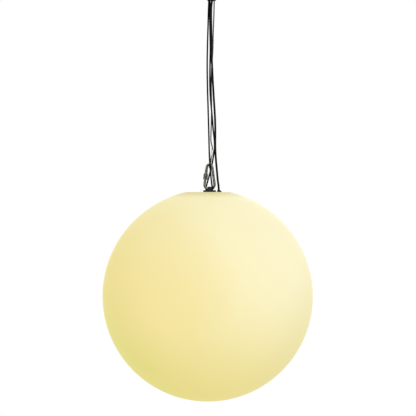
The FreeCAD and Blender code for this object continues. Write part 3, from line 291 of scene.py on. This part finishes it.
class Paint(Graph):
    """A material on the principled shader."""

    def __init__(self, name, **fixed):
        self.material = bpy.data.materials.new(name)
        self.material.use_nodes = True
        super().__init__(self.material.node_tree)
        self.shader = self.tree.nodes["Principled BSDF"]
        for socket, value in fixed.items():
            self.shader.inputs[socket.replace("_", " ")].default_value = value
        self.place = self.term("ShaderNodeTexCoord", "Object")

    def axes(self, place=None):
        """The three numbers of a place."""
        split = self.node("ShaderNodeSeparateXYZ", {0: place or self.place})
        return [Term(self, split.outputs[axis]) for axis in range(3)]

    def from_centre(self, centre, size):
        """Object place seen from a centre, in that many sizes."""
        shifted = self.term("ShaderNodeVectorMath", 0, {0: self.place, 1: centre}, operation="SUBTRACT")
        return self.term("ShaderNodeVectorMath", 0, {0: shifted, "Scale": 1 / size}, operation="SCALE")

    def stretched(self, scale):
        return self.term("ShaderNodeVectorMath", 0, {0: self.place, 1: scale}, operation="MULTIPLY")

    def noise(self, scale, detail, place=None, roughness=0.5):
        return self.term("ShaderNodeTexNoise", "Fac", {"Vector": place or self.place, "Scale": scale,
                                                       "Detail": detail, "Roughness": roughness})

    def cells(self, scale, place=None):
        return self.term("ShaderNodeTexVoronoi", "Distance", {"Vector": place or self.place, "Scale": scale})

    def attribute(self, name):
        return self.term("ShaderNodeAttribute", "Fac", attribute_name=name)

    def mix(self, share, first, second):
        node = self.node("ShaderNodeMix", data_type="RGBA", clamp_factor=True)
        self.feed(node.inputs[0], share)
        self.feed(node.inputs[6], first)
        self.feed(node.inputs[7], second)
        return Term(self, node.outputs[2])

    def colour(self, value):
        self.feed(self.shader.inputs["Base Color"], value)

    def roughness(self, value):
        self.feed(self.shader.inputs["Roughness"], value)

    def glow(self, value):
        self.feed(self.shader.inputs["Emission Color"], value)

    def bump(self, height, distance, strength):
        """Raises the surface by height times distance, on top of what is there."""
        normal = self.shader.inputs["Normal"]
        inputs = {"Height": height, "Distance": distance, "Strength": strength}
        if normal.links:
            inputs["Normal"] = Term(self, normal.links[0].from_socket)
        self.feed(normal, self.term("ShaderNodeBump", 0, inputs))


# ---------------------------------------------------------------- materials
GLOBE_DEEP = (240, 225, 148)        # tones of the globe's painted glow, with its painted light and shade, as seen
GLOBE_PAINTED_LIGHT = (254, 246, 205)
GLOBE_LOW_SHADE = (237, 222, 138)
GLOBE_GREEN_SHADE = (225, 222, 130)
GLOBE_RIGHT_EDGE_SHADE = (232, 222, 160)
GLOBE_WARM_GLOW = (249, 230, 164)
GLOBE_CROWN_SHADE = (212, 198, 136)
GLOBE_SPECK = (200, 190, 130)
GLOBE_BODY_SHARE = 0.55             # how much of the tone the unlit plastic keeps
WARM_X, WARM_Z = 0.42, 0.12         # middle of the warm patch of painted light, in globe radii left of and above the centre
FRESH_WIRE, WORN_WIRE = (122, 121, 110), (88, 86, 76)
WIRE_GROOVE_SHADE = (42, 41, 36)
DARK_STRETCH_WIRE = (24, 23, 20)
WIRE_LAY = 4.2 * MM
STRAND_WIRES = 6.0
FERRULE_RIB = 3.1 * MM
BRAID_STRANDS = 8.0                 # strands of each of the braid's two families
BRAID_PITCH = 1.6 * MM
KNOT_PITCH = 1.3 * MM
WEFT_PITCH = 0.6 * MM
WARP_PITCH = 0.9 * MM
LAMP_THREAD_PITCH = 3.6 * MM


def opal_globe():
    """Lit opal polyethylene, its glow from the lamp inside painted as emission: painted light makes the
    right shoulder pale; painted shade makes it greener low on the left, dimmer at the right edge and darker
    at the crown.
    """
    paint = Paint("opal_globe", Emission_Strength=0.62, Specular_IOR_Level=0.05)
    at = paint.from_centre(GLOBE_CENTRE, GLOBE_RADIUS)
    x, y, z = paint.axes(at)
    drift = paint.noise(1.3, 2.0, at) - 0.5
    cloud = paint.noise(4.0, 3.0, at) - 0.5
    # painted light: paler towards the upper right shoulder
    pale = (0.72 * x + 0.48 * z + 0.35 * drift).ramp(-0.75, 0.85)
    # painted shade: darker, deeper yellow towards the bottom
    low = (-0.95 * z + 0.25 * x + 0.4 * drift).ramp(0.15, 1.15)
    # painted shade: darker and greener on the lower left
    green = (-0.82 * x - 0.60 * z + 0.5 * cloud).ramp(0.45, 1.15)
    # painted shade: dimmer at the right edge, lower down
    dim = (0.9 * x - 0.45 * z).ramp(0.55, 1.05)
    # painted light: a warmer, brighter patch left of and above the centre
    warm = (1.0 - ((x + WARM_X) ** 2.0 + (z - WARM_Z) ** 2.0) * 1.9 + cloud * 0.7).ramp(0.0, 1.0)
    # painted shade: darker at the crown
    crown = z.ramp(0.925, 1.0)
    specks = (0.035 - paint.cells(9.0, at)).ramp(0.0, 0.012)
    tone = paint.mix(pale, linear(*GLOBE_DEEP), linear(*GLOBE_PAINTED_LIGHT))
    tone = paint.mix(low * 0.75, tone, linear(*GLOBE_LOW_SHADE))
    tone = paint.mix(green * 0.70, tone, linear(*GLOBE_GREEN_SHADE))
    tone = paint.mix(dim * 0.45, tone, linear(*GLOBE_RIGHT_EDGE_SHADE))
    tone = paint.mix(warm * 0.40, tone, linear(*GLOBE_WARM_GLOW))
    tone = paint.mix(crown * 0.75, tone, linear(*GLOBE_CROWN_SHADE))
    tone = paint.mix(specks * 0.35, tone, linear(*GLOBE_SPECK))
    paint.colour(paint.mix(GLOBE_BODY_SHARE, (0, 0, 0, 1), tone))
    # painted light: the glow of the lamp inside, shining through the shell, as emission
    paint.glow(tone)
    paint.roughness(0.42 + 0.2 * paint.noise(60.0, 3.0, at))
    paint.bump(paint.noise(420.0, 2.0), 0.25 * MM, 0.35)
    paint.bump(paint.noise(30.0, 2.0), 2 * MM, 0.12)
    return paint.material


def opal_cover():
    """Opal plate of the flat top, a little duller in its middle; its glow from the lamp inside is painted
    light, as emission.
    """
    paint = Paint("opal_cover", Emission_Strength=0.25, IOR=1.5, Specular_IOR_Level=0.25)
    x, y, _ = paint.axes(paint.from_centre(GLOBE_CENTRE, GLOBE_RADIUS))
    rim = ((x ** 2.0 + y ** 2.0) ** 0.5).ramp(0.05, 0.2)
    cloud = paint.noise(90.0, 4.0)
    tone = paint.mix(rim, linear(228, 216, 168), linear(242, 233, 190))
    tone = paint.mix(cloud * 0.3, tone, linear(222, 208, 150))
    paint.colour(tone)
    # painted light: the glow of the lamp inside, as emission
    paint.glow(tone)
    paint.roughness(0.38 + 0.25 * cloud)
    paint.bump(paint.noise(700.0, 2.0), 0.2 * MM, 0.4)
    return paint.material


def metal(name, tone, worn, roughness):
    """Bare or plated metal with drawn scratches, dull patches and small pits."""
    paint = Paint(name, Metallic=1.0)
    patches = paint.noise(160.0, 4.0)
    blooms = paint.noise(330.0, 2.0)
    lines = paint.noise(900.0, 2.0, paint.stretched((1.0, 1.0, 0.12)))
    pits = (0.2 - paint.cells(700.0)).ramp(0.0, 0.12)
    wear = patches.ramp(0.35, 0.75) * 0.35 + blooms.ramp(0.44, 0.58) * 0.6 + pits * 0.4
    paint.colour(paint.mix(wear, linear(*tone), linear(*worn)))
    paint.roughness(roughness + 0.16 * patches + 0.1 * (lines - 0.5))
    paint.bump(lines, 0.06 * MM, 0.5)
    paint.bump(pits, -0.05 * MM, 0.6)
    return paint.material


def rope_steel():
    """Galvanised strands, darker over a stretch in the middle: each strand shows its own twisted wires, with
    painted shade in the grooves between them.
    """
    paint = Paint("rope_steel", Metallic=1.0)
    along = paint.attribute("along")
    turn = paint.attribute("round")
    wires = ((along / WIRE_LAY + turn * STRAND_WIRES) * FULL_TURN).sin()
    # painted shade: darker in the grooves between the wires
    groove = (0.0 - wires).ramp(0.2, 1.0)
    patches = paint.noise(300.0, 3.0)
    height = paint.axes()[2]
    # darker between these heights, fading in and out at each end
    dark_stretch = (height - DARK_STRETCH_FOOT).ramp(0.0, DARK_STRETCH_FADE) * (DARK_STRETCH_HEAD - height).ramp(0.0, DARK_STRETCH_FADE)
    tone = paint.mix(patches.ramp(0.3, 0.8), linear(*FRESH_WIRE), linear(*WORN_WIRE))
    tone = paint.mix(groove * 0.7, tone, linear(*WIRE_GROOVE_SHADE))
    paint.colour(paint.mix(dark_stretch * 0.85, tone, linear(*DARK_STRETCH_WIRE)))
    paint.roughness(0.34 + 0.2 * patches)
    paint.bump(wires, 0.06 * MM, 0.9)
    return paint.material


def ferrule_metal():
    """Pressed aluminium with the die's faint ribs."""
    paint = Paint("ferrule_metal", Metallic=1.0)
    height = paint.axes()[2]
    ribs = (height * (FULL_TURN / FERRULE_RIB)).sin()
    patches = paint.noise(260.0, 4.0)
    paint.colour(paint.mix(patches.ramp(0.3, 0.8) * 0.5, linear(226, 226, 222), linear(180, 180, 174)))
    paint.roughness(0.26 + 0.2 * patches)
    paint.bump(ribs, 0.12 * MM, 0.7)
    paint.bump(paint.noise(1400.0, 2.0), 0.04 * MM, 0.5)
    return paint.material


def black_moulding(name, tone, dust, roughness, grain, depth):
    """Moulded black plastic or rubber with a fine grain and a little dust."""
    paint = Paint(name, Specular_IOR_Level=0.28)
    patches = paint.noise(120.0, 4.0)
    texture = paint.noise(grain, 3.0)
    dusty = patches.ramp(0.45, 0.8) * 0.35 + texture * 0.08
    paint.colour(paint.mix(dusty, linear(*tone), linear(*dust)))
    paint.roughness(roughness + 0.18 * (patches - 0.5) + 0.1 * (texture - 0.5))
    paint.bump(texture, depth, 0.6)
    return paint.material


def black_cable():
    """Smooth sheath with the extruder's faint waves and scuffs."""
    paint = Paint("black_cable", Specular_IOR_Level=0.1)
    scuff = paint.noise(55.0, 5.0, roughness=0.7)
    fine = paint.noise(1500.0, 2.0)
    paint.colour(paint.mix(scuff.ramp(0.5, 0.85) * 0.5, linear(10, 10, 9), linear(38, 37, 34)))
    paint.roughness(0.46 + 0.2 * scuff)
    paint.bump(fine, 0.03 * MM, 0.5)
    paint.bump(paint.noise(240.0, 2.0), 0.1 * MM, 0.4)
    return paint.material


def plait(paint, across, ahead):
    """Height of a plain plait of two families of strands."""
    first = across + ahead
    second = across - ahead
    parity = ((first.floor() + second.floor()) * math.pi).cos()
    over = (first * math.pi).sin().size() * (0.7 + 0.3 * parity)
    under = (second * math.pi).sin().size() * (0.7 - 0.3 * parity)
    return over.greater(under)


def plaited(name, across, ahead):
    """Matt black plait; the two functions say how far a place lies across and ahead, in strands."""
    paint = Paint(name, Specular_IOR_Level=0.02, Sheen_Weight=0.01, Sheen_Roughness=0.6)
    height = plait(paint, across(paint), ahead(paint))
    fluff = paint.noise(2600.0, 2.0)
    # painted shade: darker where strands dip under the others, lighter on their crowns
    tone = paint.mix(height.ramp(0.35, 0.95), linear(4, 4, 4), linear(17, 16, 15))
    paint.colour(paint.mix(fluff * 0.15, tone, linear(30, 29, 27)))
    paint.roughness(0.8 + 0.15 * fluff)
    paint.bump(height, 0.22 * MM, 0.9)
    paint.bump(fluff, 0.04 * MM, 0.6)
    return paint.material


def braided_cord():
    """Round cord: a braid of sixteen strands read from the cord's own length and girth."""
    return plaited("black_cord", lambda paint: paint.attribute("round") * BRAID_STRANDS,
                   lambda paint: paint.attribute("along") / BRAID_PITCH)


def knotted_cord():
    """The same braid on the stopper knots, read from the place on the object."""
    return plaited("black_cord_knot", lambda paint: (paint.axes()[0] + paint.axes()[1]) / KNOT_PITCH,
                   lambda paint: paint.axes()[2] / KNOT_PITCH)


def black_strap():
    """Woven tape: ribs across, a plain weave between them."""
    paint = Paint("black_strap", Specular_IOR_Level=0.2, Sheen_Weight=0.1)
    x, y, z = paint.axes()
    weft = (z * (math.pi / WEFT_PITCH)).sin().size()
    warp = ((x + y) * (math.pi / WARP_PITCH)).sin().size()
    fluff = paint.noise(1800.0, 2.0)
    height = weft.greater(warp * 0.8)
    # painted shade: darker in the weave's hollows, lighter on the raised ribs
    tone = paint.mix(height, linear(12, 12, 12), linear(38, 37, 35))
    paint.colour(paint.mix(fluff * 0.25, tone, linear(58, 57, 54)))
    paint.roughness(0.7 + 0.2 * fluff)
    paint.bump(height, 0.2 * MM, 0.8)
    return paint.material


def pale_moulding(name, tone, shade, grain, glow=0.0):
    """Seal, ceramic or diffuser: pale, softly mottled."""
    paint = Paint(name, Specular_IOR_Level=0.3, Emission_Strength=glow)
    mottle = paint.noise(180.0, 4.0)
    surface = paint.mix(mottle, linear(*tone), linear(*shade))
    paint.colour(surface)
    paint.glow(surface)
    paint.roughness(0.4 + 0.3 * mottle)
    paint.bump(paint.noise(grain, 2.0), 0.1 * MM, 0.5)
    return paint.material


def threaded_metal(name, tone, worn, pitch):
    """Rolled metal whose surface carries a round thread."""
    paint = Paint(name, Metallic=1.0)
    x, y, z = paint.axes()
    turn = y.math("ARCTAN2", y, x - GLOBE_CENTRE.x)
    ridge = (z * (FULL_TURN / pitch) + turn).sin()
    patches = paint.noise(200.0, 3.0)
    paint.colour(paint.mix(patches.ramp(0.3, 0.8), linear(*tone), linear(*worn)))
    paint.roughness(0.25 + 0.2 * patches)
    paint.bump(ridge, 0.6 * MM, 0.9)
    return paint.material


def make_paints():
    """One material for each slot name of the model."""
    return {
        "opal_globe": opal_globe(),
        "opal_cover": opal_cover(),
        "soft_rubber": pale_moulding("soft_rubber", (200, 200, 194), (184, 184, 176), grain=900.0),
        "bright_steel": metal("bright_steel", (122, 120, 109), (52, 50, 42), roughness=0.1),
        "rope_steel": rope_steel(),
        "ferrule_metal": ferrule_metal(),
        "brass_insert": metal("brass_insert", (214, 178, 104), (166, 130, 70), roughness=0.2),
        "black_plastic": black_moulding("black_plastic", (22, 22, 22), (58, 57, 53),
                                        roughness=0.42, grain=1300.0, depth=0.06 * MM),
        "black_rubber": black_moulding("black_rubber", (19, 19, 19), (52, 51, 48),
                                       roughness=0.6, grain=900.0, depth=0.08 * MM),
        "black_cable": black_cable(),
        "black_cord": braided_cord(),
        "black_strap": black_strap(),
        "white_ceramic": pale_moulding("white_ceramic", (240, 238, 230), (226, 223, 212), grain=700.0),
        "lamp_metal": threaded_metal("lamp_metal", (222, 222, 216), (184, 182, 172), LAMP_THREAD_PITCH),
        "lamp_opal": pale_moulding("lamp_opal", (255, 248, 226), (250, 240, 210), grain=500.0, glow=0.9),
    }


# ---------------------------------------------------------------- paths and what follows them
def curve_object(name, points, kind):
    """Open curve through, or controlled by, the points; returns the object and its spline."""
    data = bpy.data.curves.new(name, "CURVE")
    data.dimensions = "3D"
    spline = data.splines.new(kind)
    spline.points.add(len(points) - 1)
    for target, point in zip(spline.points, points):
        target.co = (*point, 1.0)
    return placed(name, data), spline


def plain_mesh(thing):
    """Evaluated mesh of an object."""
    bpy.context.view_layer.update()
    return bpy.data.meshes.new_from_object(thing.evaluated_get(bpy.context.evaluated_depsgraph_get()))


def route_line(name, points, resolution):
    """Points along the smooth line that a route's points control."""
    thing, spline = curve_object(name, points, "NURBS")
    spline.order_u = 3
    spline.use_endpoint_u = True
    spline.resolution_u = resolution
    mesh = plain_mesh(thing)
    line = [vertex.co.copy() for vertex in mesh.vertices]
    bpy.data.objects.remove(thing)
    return line


def new_tree(name, **inputs):
    """Geometry tree with named inputs; returns its graph and the inputs' outlets."""
    tree = bpy.data.node_groups.new(name, "GeometryNodeTree")
    face = tree.interface
    face.new_socket("Geometry", in_out="OUTPUT", socket_type="NodeSocketGeometry")
    face.new_socket("Geometry", in_out="INPUT", socket_type="NodeSocketGeometry")
    for label, kind in inputs.items():
        face.new_socket(label.replace("_", " "), in_out="INPUT", socket_type="NodeSocket" + kind)
    graph = Graph(tree)
    entry = graph.node("NodeGroupInput")
    return graph, {socket.name: Term(graph, socket) for socket in entry.outputs if socket.name}


def close_tree(graph, geometry, material):
    """Makes the geometry real, paints it and ends the tree."""
    real = graph.term("GeometryNodeRealizeInstances", 0, {0: geometry})
    painted = graph.term("GeometryNodeSetMaterial", 0, {"Geometry": real, "Material": material})
    graph.node("NodeGroupOutput", {0: painted})
    return graph.tree


def grown(thing, tree, body, slot, **values):
    """Runs a tree on an object and returns the plain mesh it makes as a new piece."""
    modifier = thing.modifiers.new("grow", "NODES")
    modifier.node_group = tree
    for item in tree.interface.items_tree:
        label = item.name.replace(" ", "_")
        if item.in_out == "INPUT" and label in values:
            modifier[item.identifier] = values.pop(label)
    mesh = plain_mesh(thing)
    name = thing.name
    thing.modifiers.clear()
    bpy.data.objects.remove(thing)
    piece = placed(name + "_look", mesh)
    if body:
        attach(piece, body)
    return piece


def stored(graph, geometry, name, value):
    """Keeps a value at each point under a name that materials read."""
    inputs = {"Geometry": geometry, "Name": name, "Value": value}
    return graph.term("GeometryNodeStoreNamedAttribute", 0, inputs, data_type="FLOAT", domain="POINT")


def swept(graph, curve, radius, sides):
    """Tube along a curve that carries its length and its girth as attributes."""
    length = graph.term("GeometryNodeSplineParameter", "Length")
    factor = graph.term("GeometryNodeSplineParameter", "Factor")
    line = stored(graph, curve, "along", length)
    ring = graph.term("GeometryNodeCurvePrimitiveCircle", 0, {"Resolution": sides, "Radius": radius})
    ring = stored(graph, ring, "round", factor)
    tube = graph.term("GeometryNodeCurveToMesh", 0,
                      {"Curve": line, "Profile Curve": ring, "Fill Caps": True})
    return graph.term("GeometryNodeSetShadeSmooth", 0, {"Geometry": tube})


def resampled(graph, geometry, step):
    """Evenly spaced points along a line, with a frame that doesn't twist."""
    line = graph.term("GeometryNodeResampleCurve", 0, {"Curve": geometry, "Length": step}, mode="LENGTH")
    return graph.term("GeometryNodeSetCurveNormal", 0, {"Curve": line}, mode="MINIMUM_TWIST")


def tube_tree(material):
    """Plain round tube along a line."""
    graph, given = new_tree("round_tube", Radius="Float", Step="Float", Sides="Int")
    line = resampled(graph, given["Geometry"], given["Step"])
    return close_tree(graph, swept(graph, line, given["Radius"], given["Sides"]), material)


def strand_tree(material):
    """Strands laid in a helix round a core, all along a line."""
    graph, given = new_tree("laid_strands", Strands="Int", Lay="Float", Offset="Float",
                            Strand_Radius="Float", Core_Radius="Float", Step="Float", Sides="Int")
    line = resampled(graph, given["Geometry"], given["Step"])
    copies = graph.node("GeometryNodeDuplicateElements", {"Geometry": line, "Amount": given["Strands"]},
                        domain="SPLINE")
    index = Term(graph, copies.outputs["Duplicate Index"])
    length = graph.term("GeometryNodeSplineParameter", "Length")
    turn = (length / given["Lay"] + index / given["Strands"]) * FULL_TURN
    tangent = graph.term("GeometryNodeInputTangent")
    normal = graph.term("GeometryNodeInputNormal")
    side = graph.term("ShaderNodeVectorMath", 0, {0: tangent, 1: normal}, operation="CROSS_PRODUCT")
    ahead = graph.term("ShaderNodeVectorMath", 0, {0: normal, "Scale": turn.cos() * given["Offset"]},
                       operation="SCALE")
    across = graph.term("ShaderNodeVectorMath", 0, {0: side, "Scale": turn.sin() * given["Offset"]},
                        operation="SCALE")
    offset = graph.term("ShaderNodeVectorMath", 0, {0: ahead, 1: across}, operation="ADD")
    laid = graph.term("GeometryNodeSetPosition", 0,
                      {"Geometry": Term(graph, copies.outputs["Geometry"]), "Offset": offset})
    join = graph.node("GeometryNodeJoinGeometry")
    graph.feed(join.inputs[0], swept(graph, laid, given["Strand Radius"], given["Sides"]))
    graph.feed(join.inputs[0], swept(graph, line, given["Core Radius"], given["Sides"]))
    return close_tree(graph, Term(graph, join.outputs[0]), material)


# ---------------------------------------------------------------- cable with its wound spare length
def winding():
    """Layer, and row before and after the top, of each turn from bottom to bottom."""
    turns = []
    for row in range(COIL_ROWS):
        layers = range(COIL_LAYERS) if row % 2 else range(COIL_LAYERS - 1, -1, -1)
        for layer in layers:
            if turns and turns[-1][0] == layer:
                turns[-1][2] = row
            else:
                turns.append([layer, row, row])
    return turns


def eased(share):
    """0 to 1 with a gentle start and stop."""
    share = min(max(share, 0.0), 1.0)
    return share * share * (3 - 2 * share)


def coil_points():
    """Control points of the turns: layers change at the bottom, rows at the top."""
    turns = winding()
    fuller = 1 + (FULL_TURN / TURN_POINTS) ** 2 / 8     # control points stand outside the smooth line
    points = []
    first = TURN_POINTS // 4 + 1
    last = len(turns) * TURN_POINTS - TURN_POINTS // 4
    for step in range(first, last + 1):
        whole, part = divmod(step, TURN_POINTS)
        part /= TURN_POINTS
        here, before, after = turns[min(whole, len(turns) - 1)]
        layer = here
        if part < CHANGE_SHARE and whole > 0:
            layer += (turns[whole - 1][0] - here) * (1 - eased(0.5 + 0.5 * part / CHANGE_SHARE))
        if part > 1 - CHANGE_SHARE and whole + 1 < len(turns):
            layer += (turns[whole + 1][0] - here) * eased(0.5 * (part - 1 + CHANGE_SHARE) / CHANGE_SHARE)
        row = before + (after - before) * eased(0.5 + 0.5 * (part - 0.5) / CHANGE_SHARE)
        radius = (COIL_RADIUS + (layer - (COIL_LAYERS - 1) / 2) * COIL_PITCH) * fuller
        angle = -math.pi / 2 - FULL_TURN * part
        side = (row - (COIL_ROWS - 1) / 2) * COIL_PITCH
        points.append(COIL_CENTRE + Vector((radius * math.cos(angle), side, radius * math.sin(angle))))
    return points


def make_cable(paints):
    """Power cable from the globe to its connector, with the spare length wound up."""
    line = route_line("cable", [*CABLE_ROUTE, *coil_points(), *CABLE_TAIL], resolution=8)
    thing, _ = curve_object("cable", line, "POLY")
    cable = grown(thing, tube_tree(paints["black_cable"]), None, "black_cable",
                  Radius=CABLE_RADIUS, Step=1.8 * MM, Sides=16)
    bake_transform(cable)
    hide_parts("power_cable", "cable_coil", "cable_tail")


def make_cord(paints):
    """Hanging cord: one length whose two legs meet over the ring."""
    line = route_line("cord", HANGING_CORD_ROUTE, resolution=24)
    thing, _ = curve_object("cord", line, "POLY")
    cord = grown(thing, tube_tree(paints["black_cord"]), None, "black_cord",
                 Radius=CORD_RADIUS, Step=1.0 * MM, Sides=20)
    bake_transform(cord)
    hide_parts("hanging_cord")


# ---------------------------------------------------------------- wire rope
def eye_points(centre_z, mouth_z, x):
    """Control points of the rope's way round a thimble, from one leg to the other."""
    away = 1 if centre_z > mouth_z else -1
    leg = math.hypot(LEG_OFFSET, mouth_z - centre_z)
    first = math.atan2(LEG_OFFSET, abs(mouth_z - centre_z)) + math.acos(EYE_LINE_RADIUS / leg)
    step = (FULL_TURN - 2 * first) / EYE_CORNERS
    reach = EYE_LINE_RADIUS / math.cos(step / 2)
    for index in range(EYE_CORNERS):
        turn = first + step * (index + 0.5)
        yield x, -reach * math.sin(turn), centre_z - away * reach * math.cos(turn)


def lower_eye_points():
    """The lower eye, upright on the narrow bend and then leaned over it."""
    x = NARROW_BEND.x
    points = [(x, -LEG_OFFSET, DEAD_END), (x, -LEG_OFFSET, LOWER_MOUTH + MOUTH_LIP)]
    points += eye_points(LOWER_EYE_HEIGHT, LOWER_MOUTH, x)
    points += [(x, LEG_OFFSET, LOWER_MOUTH + MOUTH_LIP), (x, LEG_OFFSET, LEAD_END)]
    lean = Matrix.Rotation(LOWER_EYE_LEAN, 3, "Y")
    return [NARROW_BEND + lean @ (Vector(point) - NARROW_BEND) for point in points]


def upper_eye_points():
    """The upper eye, upright in the hanging ring."""
    points = [(0, -LEG_OFFSET, UPPER_END), (0, -LEG_OFFSET, UPPER_MOUTH - MOUTH_LIP)]
    points += eye_points(UPPER_EYE_HEIGHT, UPPER_MOUTH, 0)
    points += [(0, LEG_OFFSET, UPPER_MOUTH - MOUTH_LIP), (0, LEG_OFFSET, UPPER_END)]
    return points


def make_rope(paints):
    """Wire rope with an eye at each end, as six strands round a core."""
    line = route_line("rope", [*lower_eye_points(), *ROPE_ROUTE, *upper_eye_points()], resolution=24)
    thing, _ = curve_object("rope", line, "POLY")
    strand = ROPE_RADIUS / 3
    rope = grown(thing, strand_tree(paints["rope_steel"]), "hanger", "rope_steel",
                 Strands=ROPE_STRANDS, Lay=STRAND_LAY, Offset=2 * strand,
                 Strand_Radius=strand * STRAND_SWELL, Core_Radius=strand * CORE_SWELL,
                 Step=0.7 * MM, Sides=8)
    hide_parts("wire_rope")


# ---------------------------------------------------------------- the lug's foot
def ring_tree(material):
    """Round bead along a level circle."""
    graph, given = new_tree("rim_bead", Ring_Radius="Float", Bead_Radius="Float", Place="Vector")
    ring = graph.term("GeometryNodeCurvePrimitiveCircle", 0,
                      {"Resolution": 96, "Radius": given["Ring Radius"]})
    bead = graph.term("GeometryNodeCurvePrimitiveCircle", 0,
                      {"Resolution": 16, "Radius": given["Bead Radius"]})
    mesh = graph.term("GeometryNodeCurveToMesh", 0, {"Curve": ring, "Profile Curve": bead})
    mesh = graph.term("GeometryNodeSetShadeSmooth", 0, {"Geometry": mesh})
    moved = graph.term("GeometryNodeTransform", 0, {"Geometry": mesh, "Translation": given["Place"]})
    return close_tree(graph, moved, material)


def make_foot_bead(paints):
    """Rolled edge on the lug's round foot."""
    empty = placed("foot_bead", bpy.data.meshes.new("foot_bead"))
    grown(empty, ring_tree(paints["black_plastic"]), "globe", "black_plastic",
          Ring_Radius=FOOT_RING_RADIUS, Bead_Radius=FOOT_BEAD_RADIUS, Place=FOOT_CENTRE)


# ---------------------------------------------------------------- studio
WORLD_LIGHT = 0.5                   # what falls on the object; the world is seen at 1
FLOOR_DROP = 0.6                    # from the globe's foot down to the floor
FLOOR_REACH = 2.6
FLOOR_SIDES = 64
FLOOR_WHITE = 0.35                  # least share of plain white in the floor as the camera sees it
LAMPS = [                           # name, place, size, power
    ("key", (1.2, -2.6, 0.4), 1.0, 14),
    ("fill", (-2.2, -2.1, -0.1), 1.4, 7),
    ("back", (0.5, 2.6, 0.3), 1.2, 4),
]


def shown_rays(graph):
    """1 on the rays that show the background: from the camera, off metal or through glass."""
    path = graph.node("ShaderNodeLightPath")
    shown = Term(graph, path.outputs["Is Camera Ray"])
    for ray in ("Is Glossy Ray", "Is Transmission Ray"):
        shown = shown.greater(Term(graph, path.outputs[ray]))
    return shown


def make_world():
    """White where it is seen, plain dimmer light where it falls on the object."""
    world = bpy.data.worlds.new("studio")
    bpy.context.scene.world = world
    world.use_nodes = True
    graph = Graph(world.node_tree)
    background = graph.tree.nodes["Background"]
    background.inputs["Color"].default_value = (1, 1, 1, 1)
    graph.feed(background.inputs["Strength"], WORLD_LIGHT + (1 - WORLD_LIGHT) * shown_rays(graph))


def make_lamp(name, place, size, power):
    """Square lamp that faces the middle of the view."""
    lamp = placed(name, bpy.data.lights.new(name, "AREA"))
    lamp.data.shape = "SQUARE"
    lamp.data.size = size
    lamp.data.energy = power
    lamp.location = place
    lamp.rotation_euler = (Vector(place) - VIEW_CENTRE).to_track_quat("Z", "Y").to_euler()


def make_floor():
    """Round pale floor well below the globe; its rim fades into the white background."""
    height = GLOBE_CENTRE.z - GLOBE_RADIUS - FLOOR_DROP
    mesh = bpy.data.meshes.new("floor")
    turns = [FULL_TURN * side / FLOOR_SIDES for side in range(FLOOR_SIDES)]
    ring = [(FLOOR_REACH * math.cos(turn), FLOOR_REACH * math.sin(turn), height) for turn in turns]
    mesh.from_pydata(ring, [], [list(range(FLOOR_SIDES))])
    floor = placed("floor", mesh)
    paint = Paint("floor", Roughness=0.9, Specular_IOR_Level=0.1)
    x, y, _ = paint.axes()
    rim = ((x ** 2.0 + y ** 2.0) ** 0.5).ramp(0.35 * FLOOR_REACH, 0.98 * FLOOR_REACH)
    paint.colour(paint.mix(paint.noise(6.0, 3.0) * 0.15, linear(246, 246, 244), linear(236, 236, 233)))
    white = paint.node("ShaderNodeEmission", {"Color": (1, 1, 1, 1), "Strength": 1.0})
    share = shown_rays(paint) * (FLOOR_WHITE + (1 - FLOOR_WHITE) * rim)
    blend = paint.node("ShaderNodeMixShader", {0: share})
    paint.tree.links.new(paint.shader.outputs[0], blend.inputs[1])
    paint.tree.links.new(white.outputs[0], blend.inputs[2])
    output = next(node for node in paint.tree.nodes if node.type == "OUTPUT_MATERIAL")
    paint.tree.links.new(blend.outputs[0], output.inputs["Surface"])
    mesh.materials.append(paint.material)


def make_studio():
    make_world()
    make_floor()
    for name, place, size, power in LAMPS:
        make_lamp(name, place, size, power)
    bpy.context.scene.view_settings.view_transform = "Standard"


def dress_nodes(paints):
    """Gives every CAD node the finished material of its slot."""
    knots = knotted_cord()
    for name, node in NODES.items():
        for slot in node.material_slots:
            slot.material = knots if name == "cord_knots" else paints[slot.material.name.split(".")[0]]


make_camera()
PAINTS = make_paints()
dress_nodes(PAINTS)
make_cable(PAINTS)
make_cord(PAINTS)
make_rope(PAINTS)
make_foot_bead(PAINTS)
make_studio()
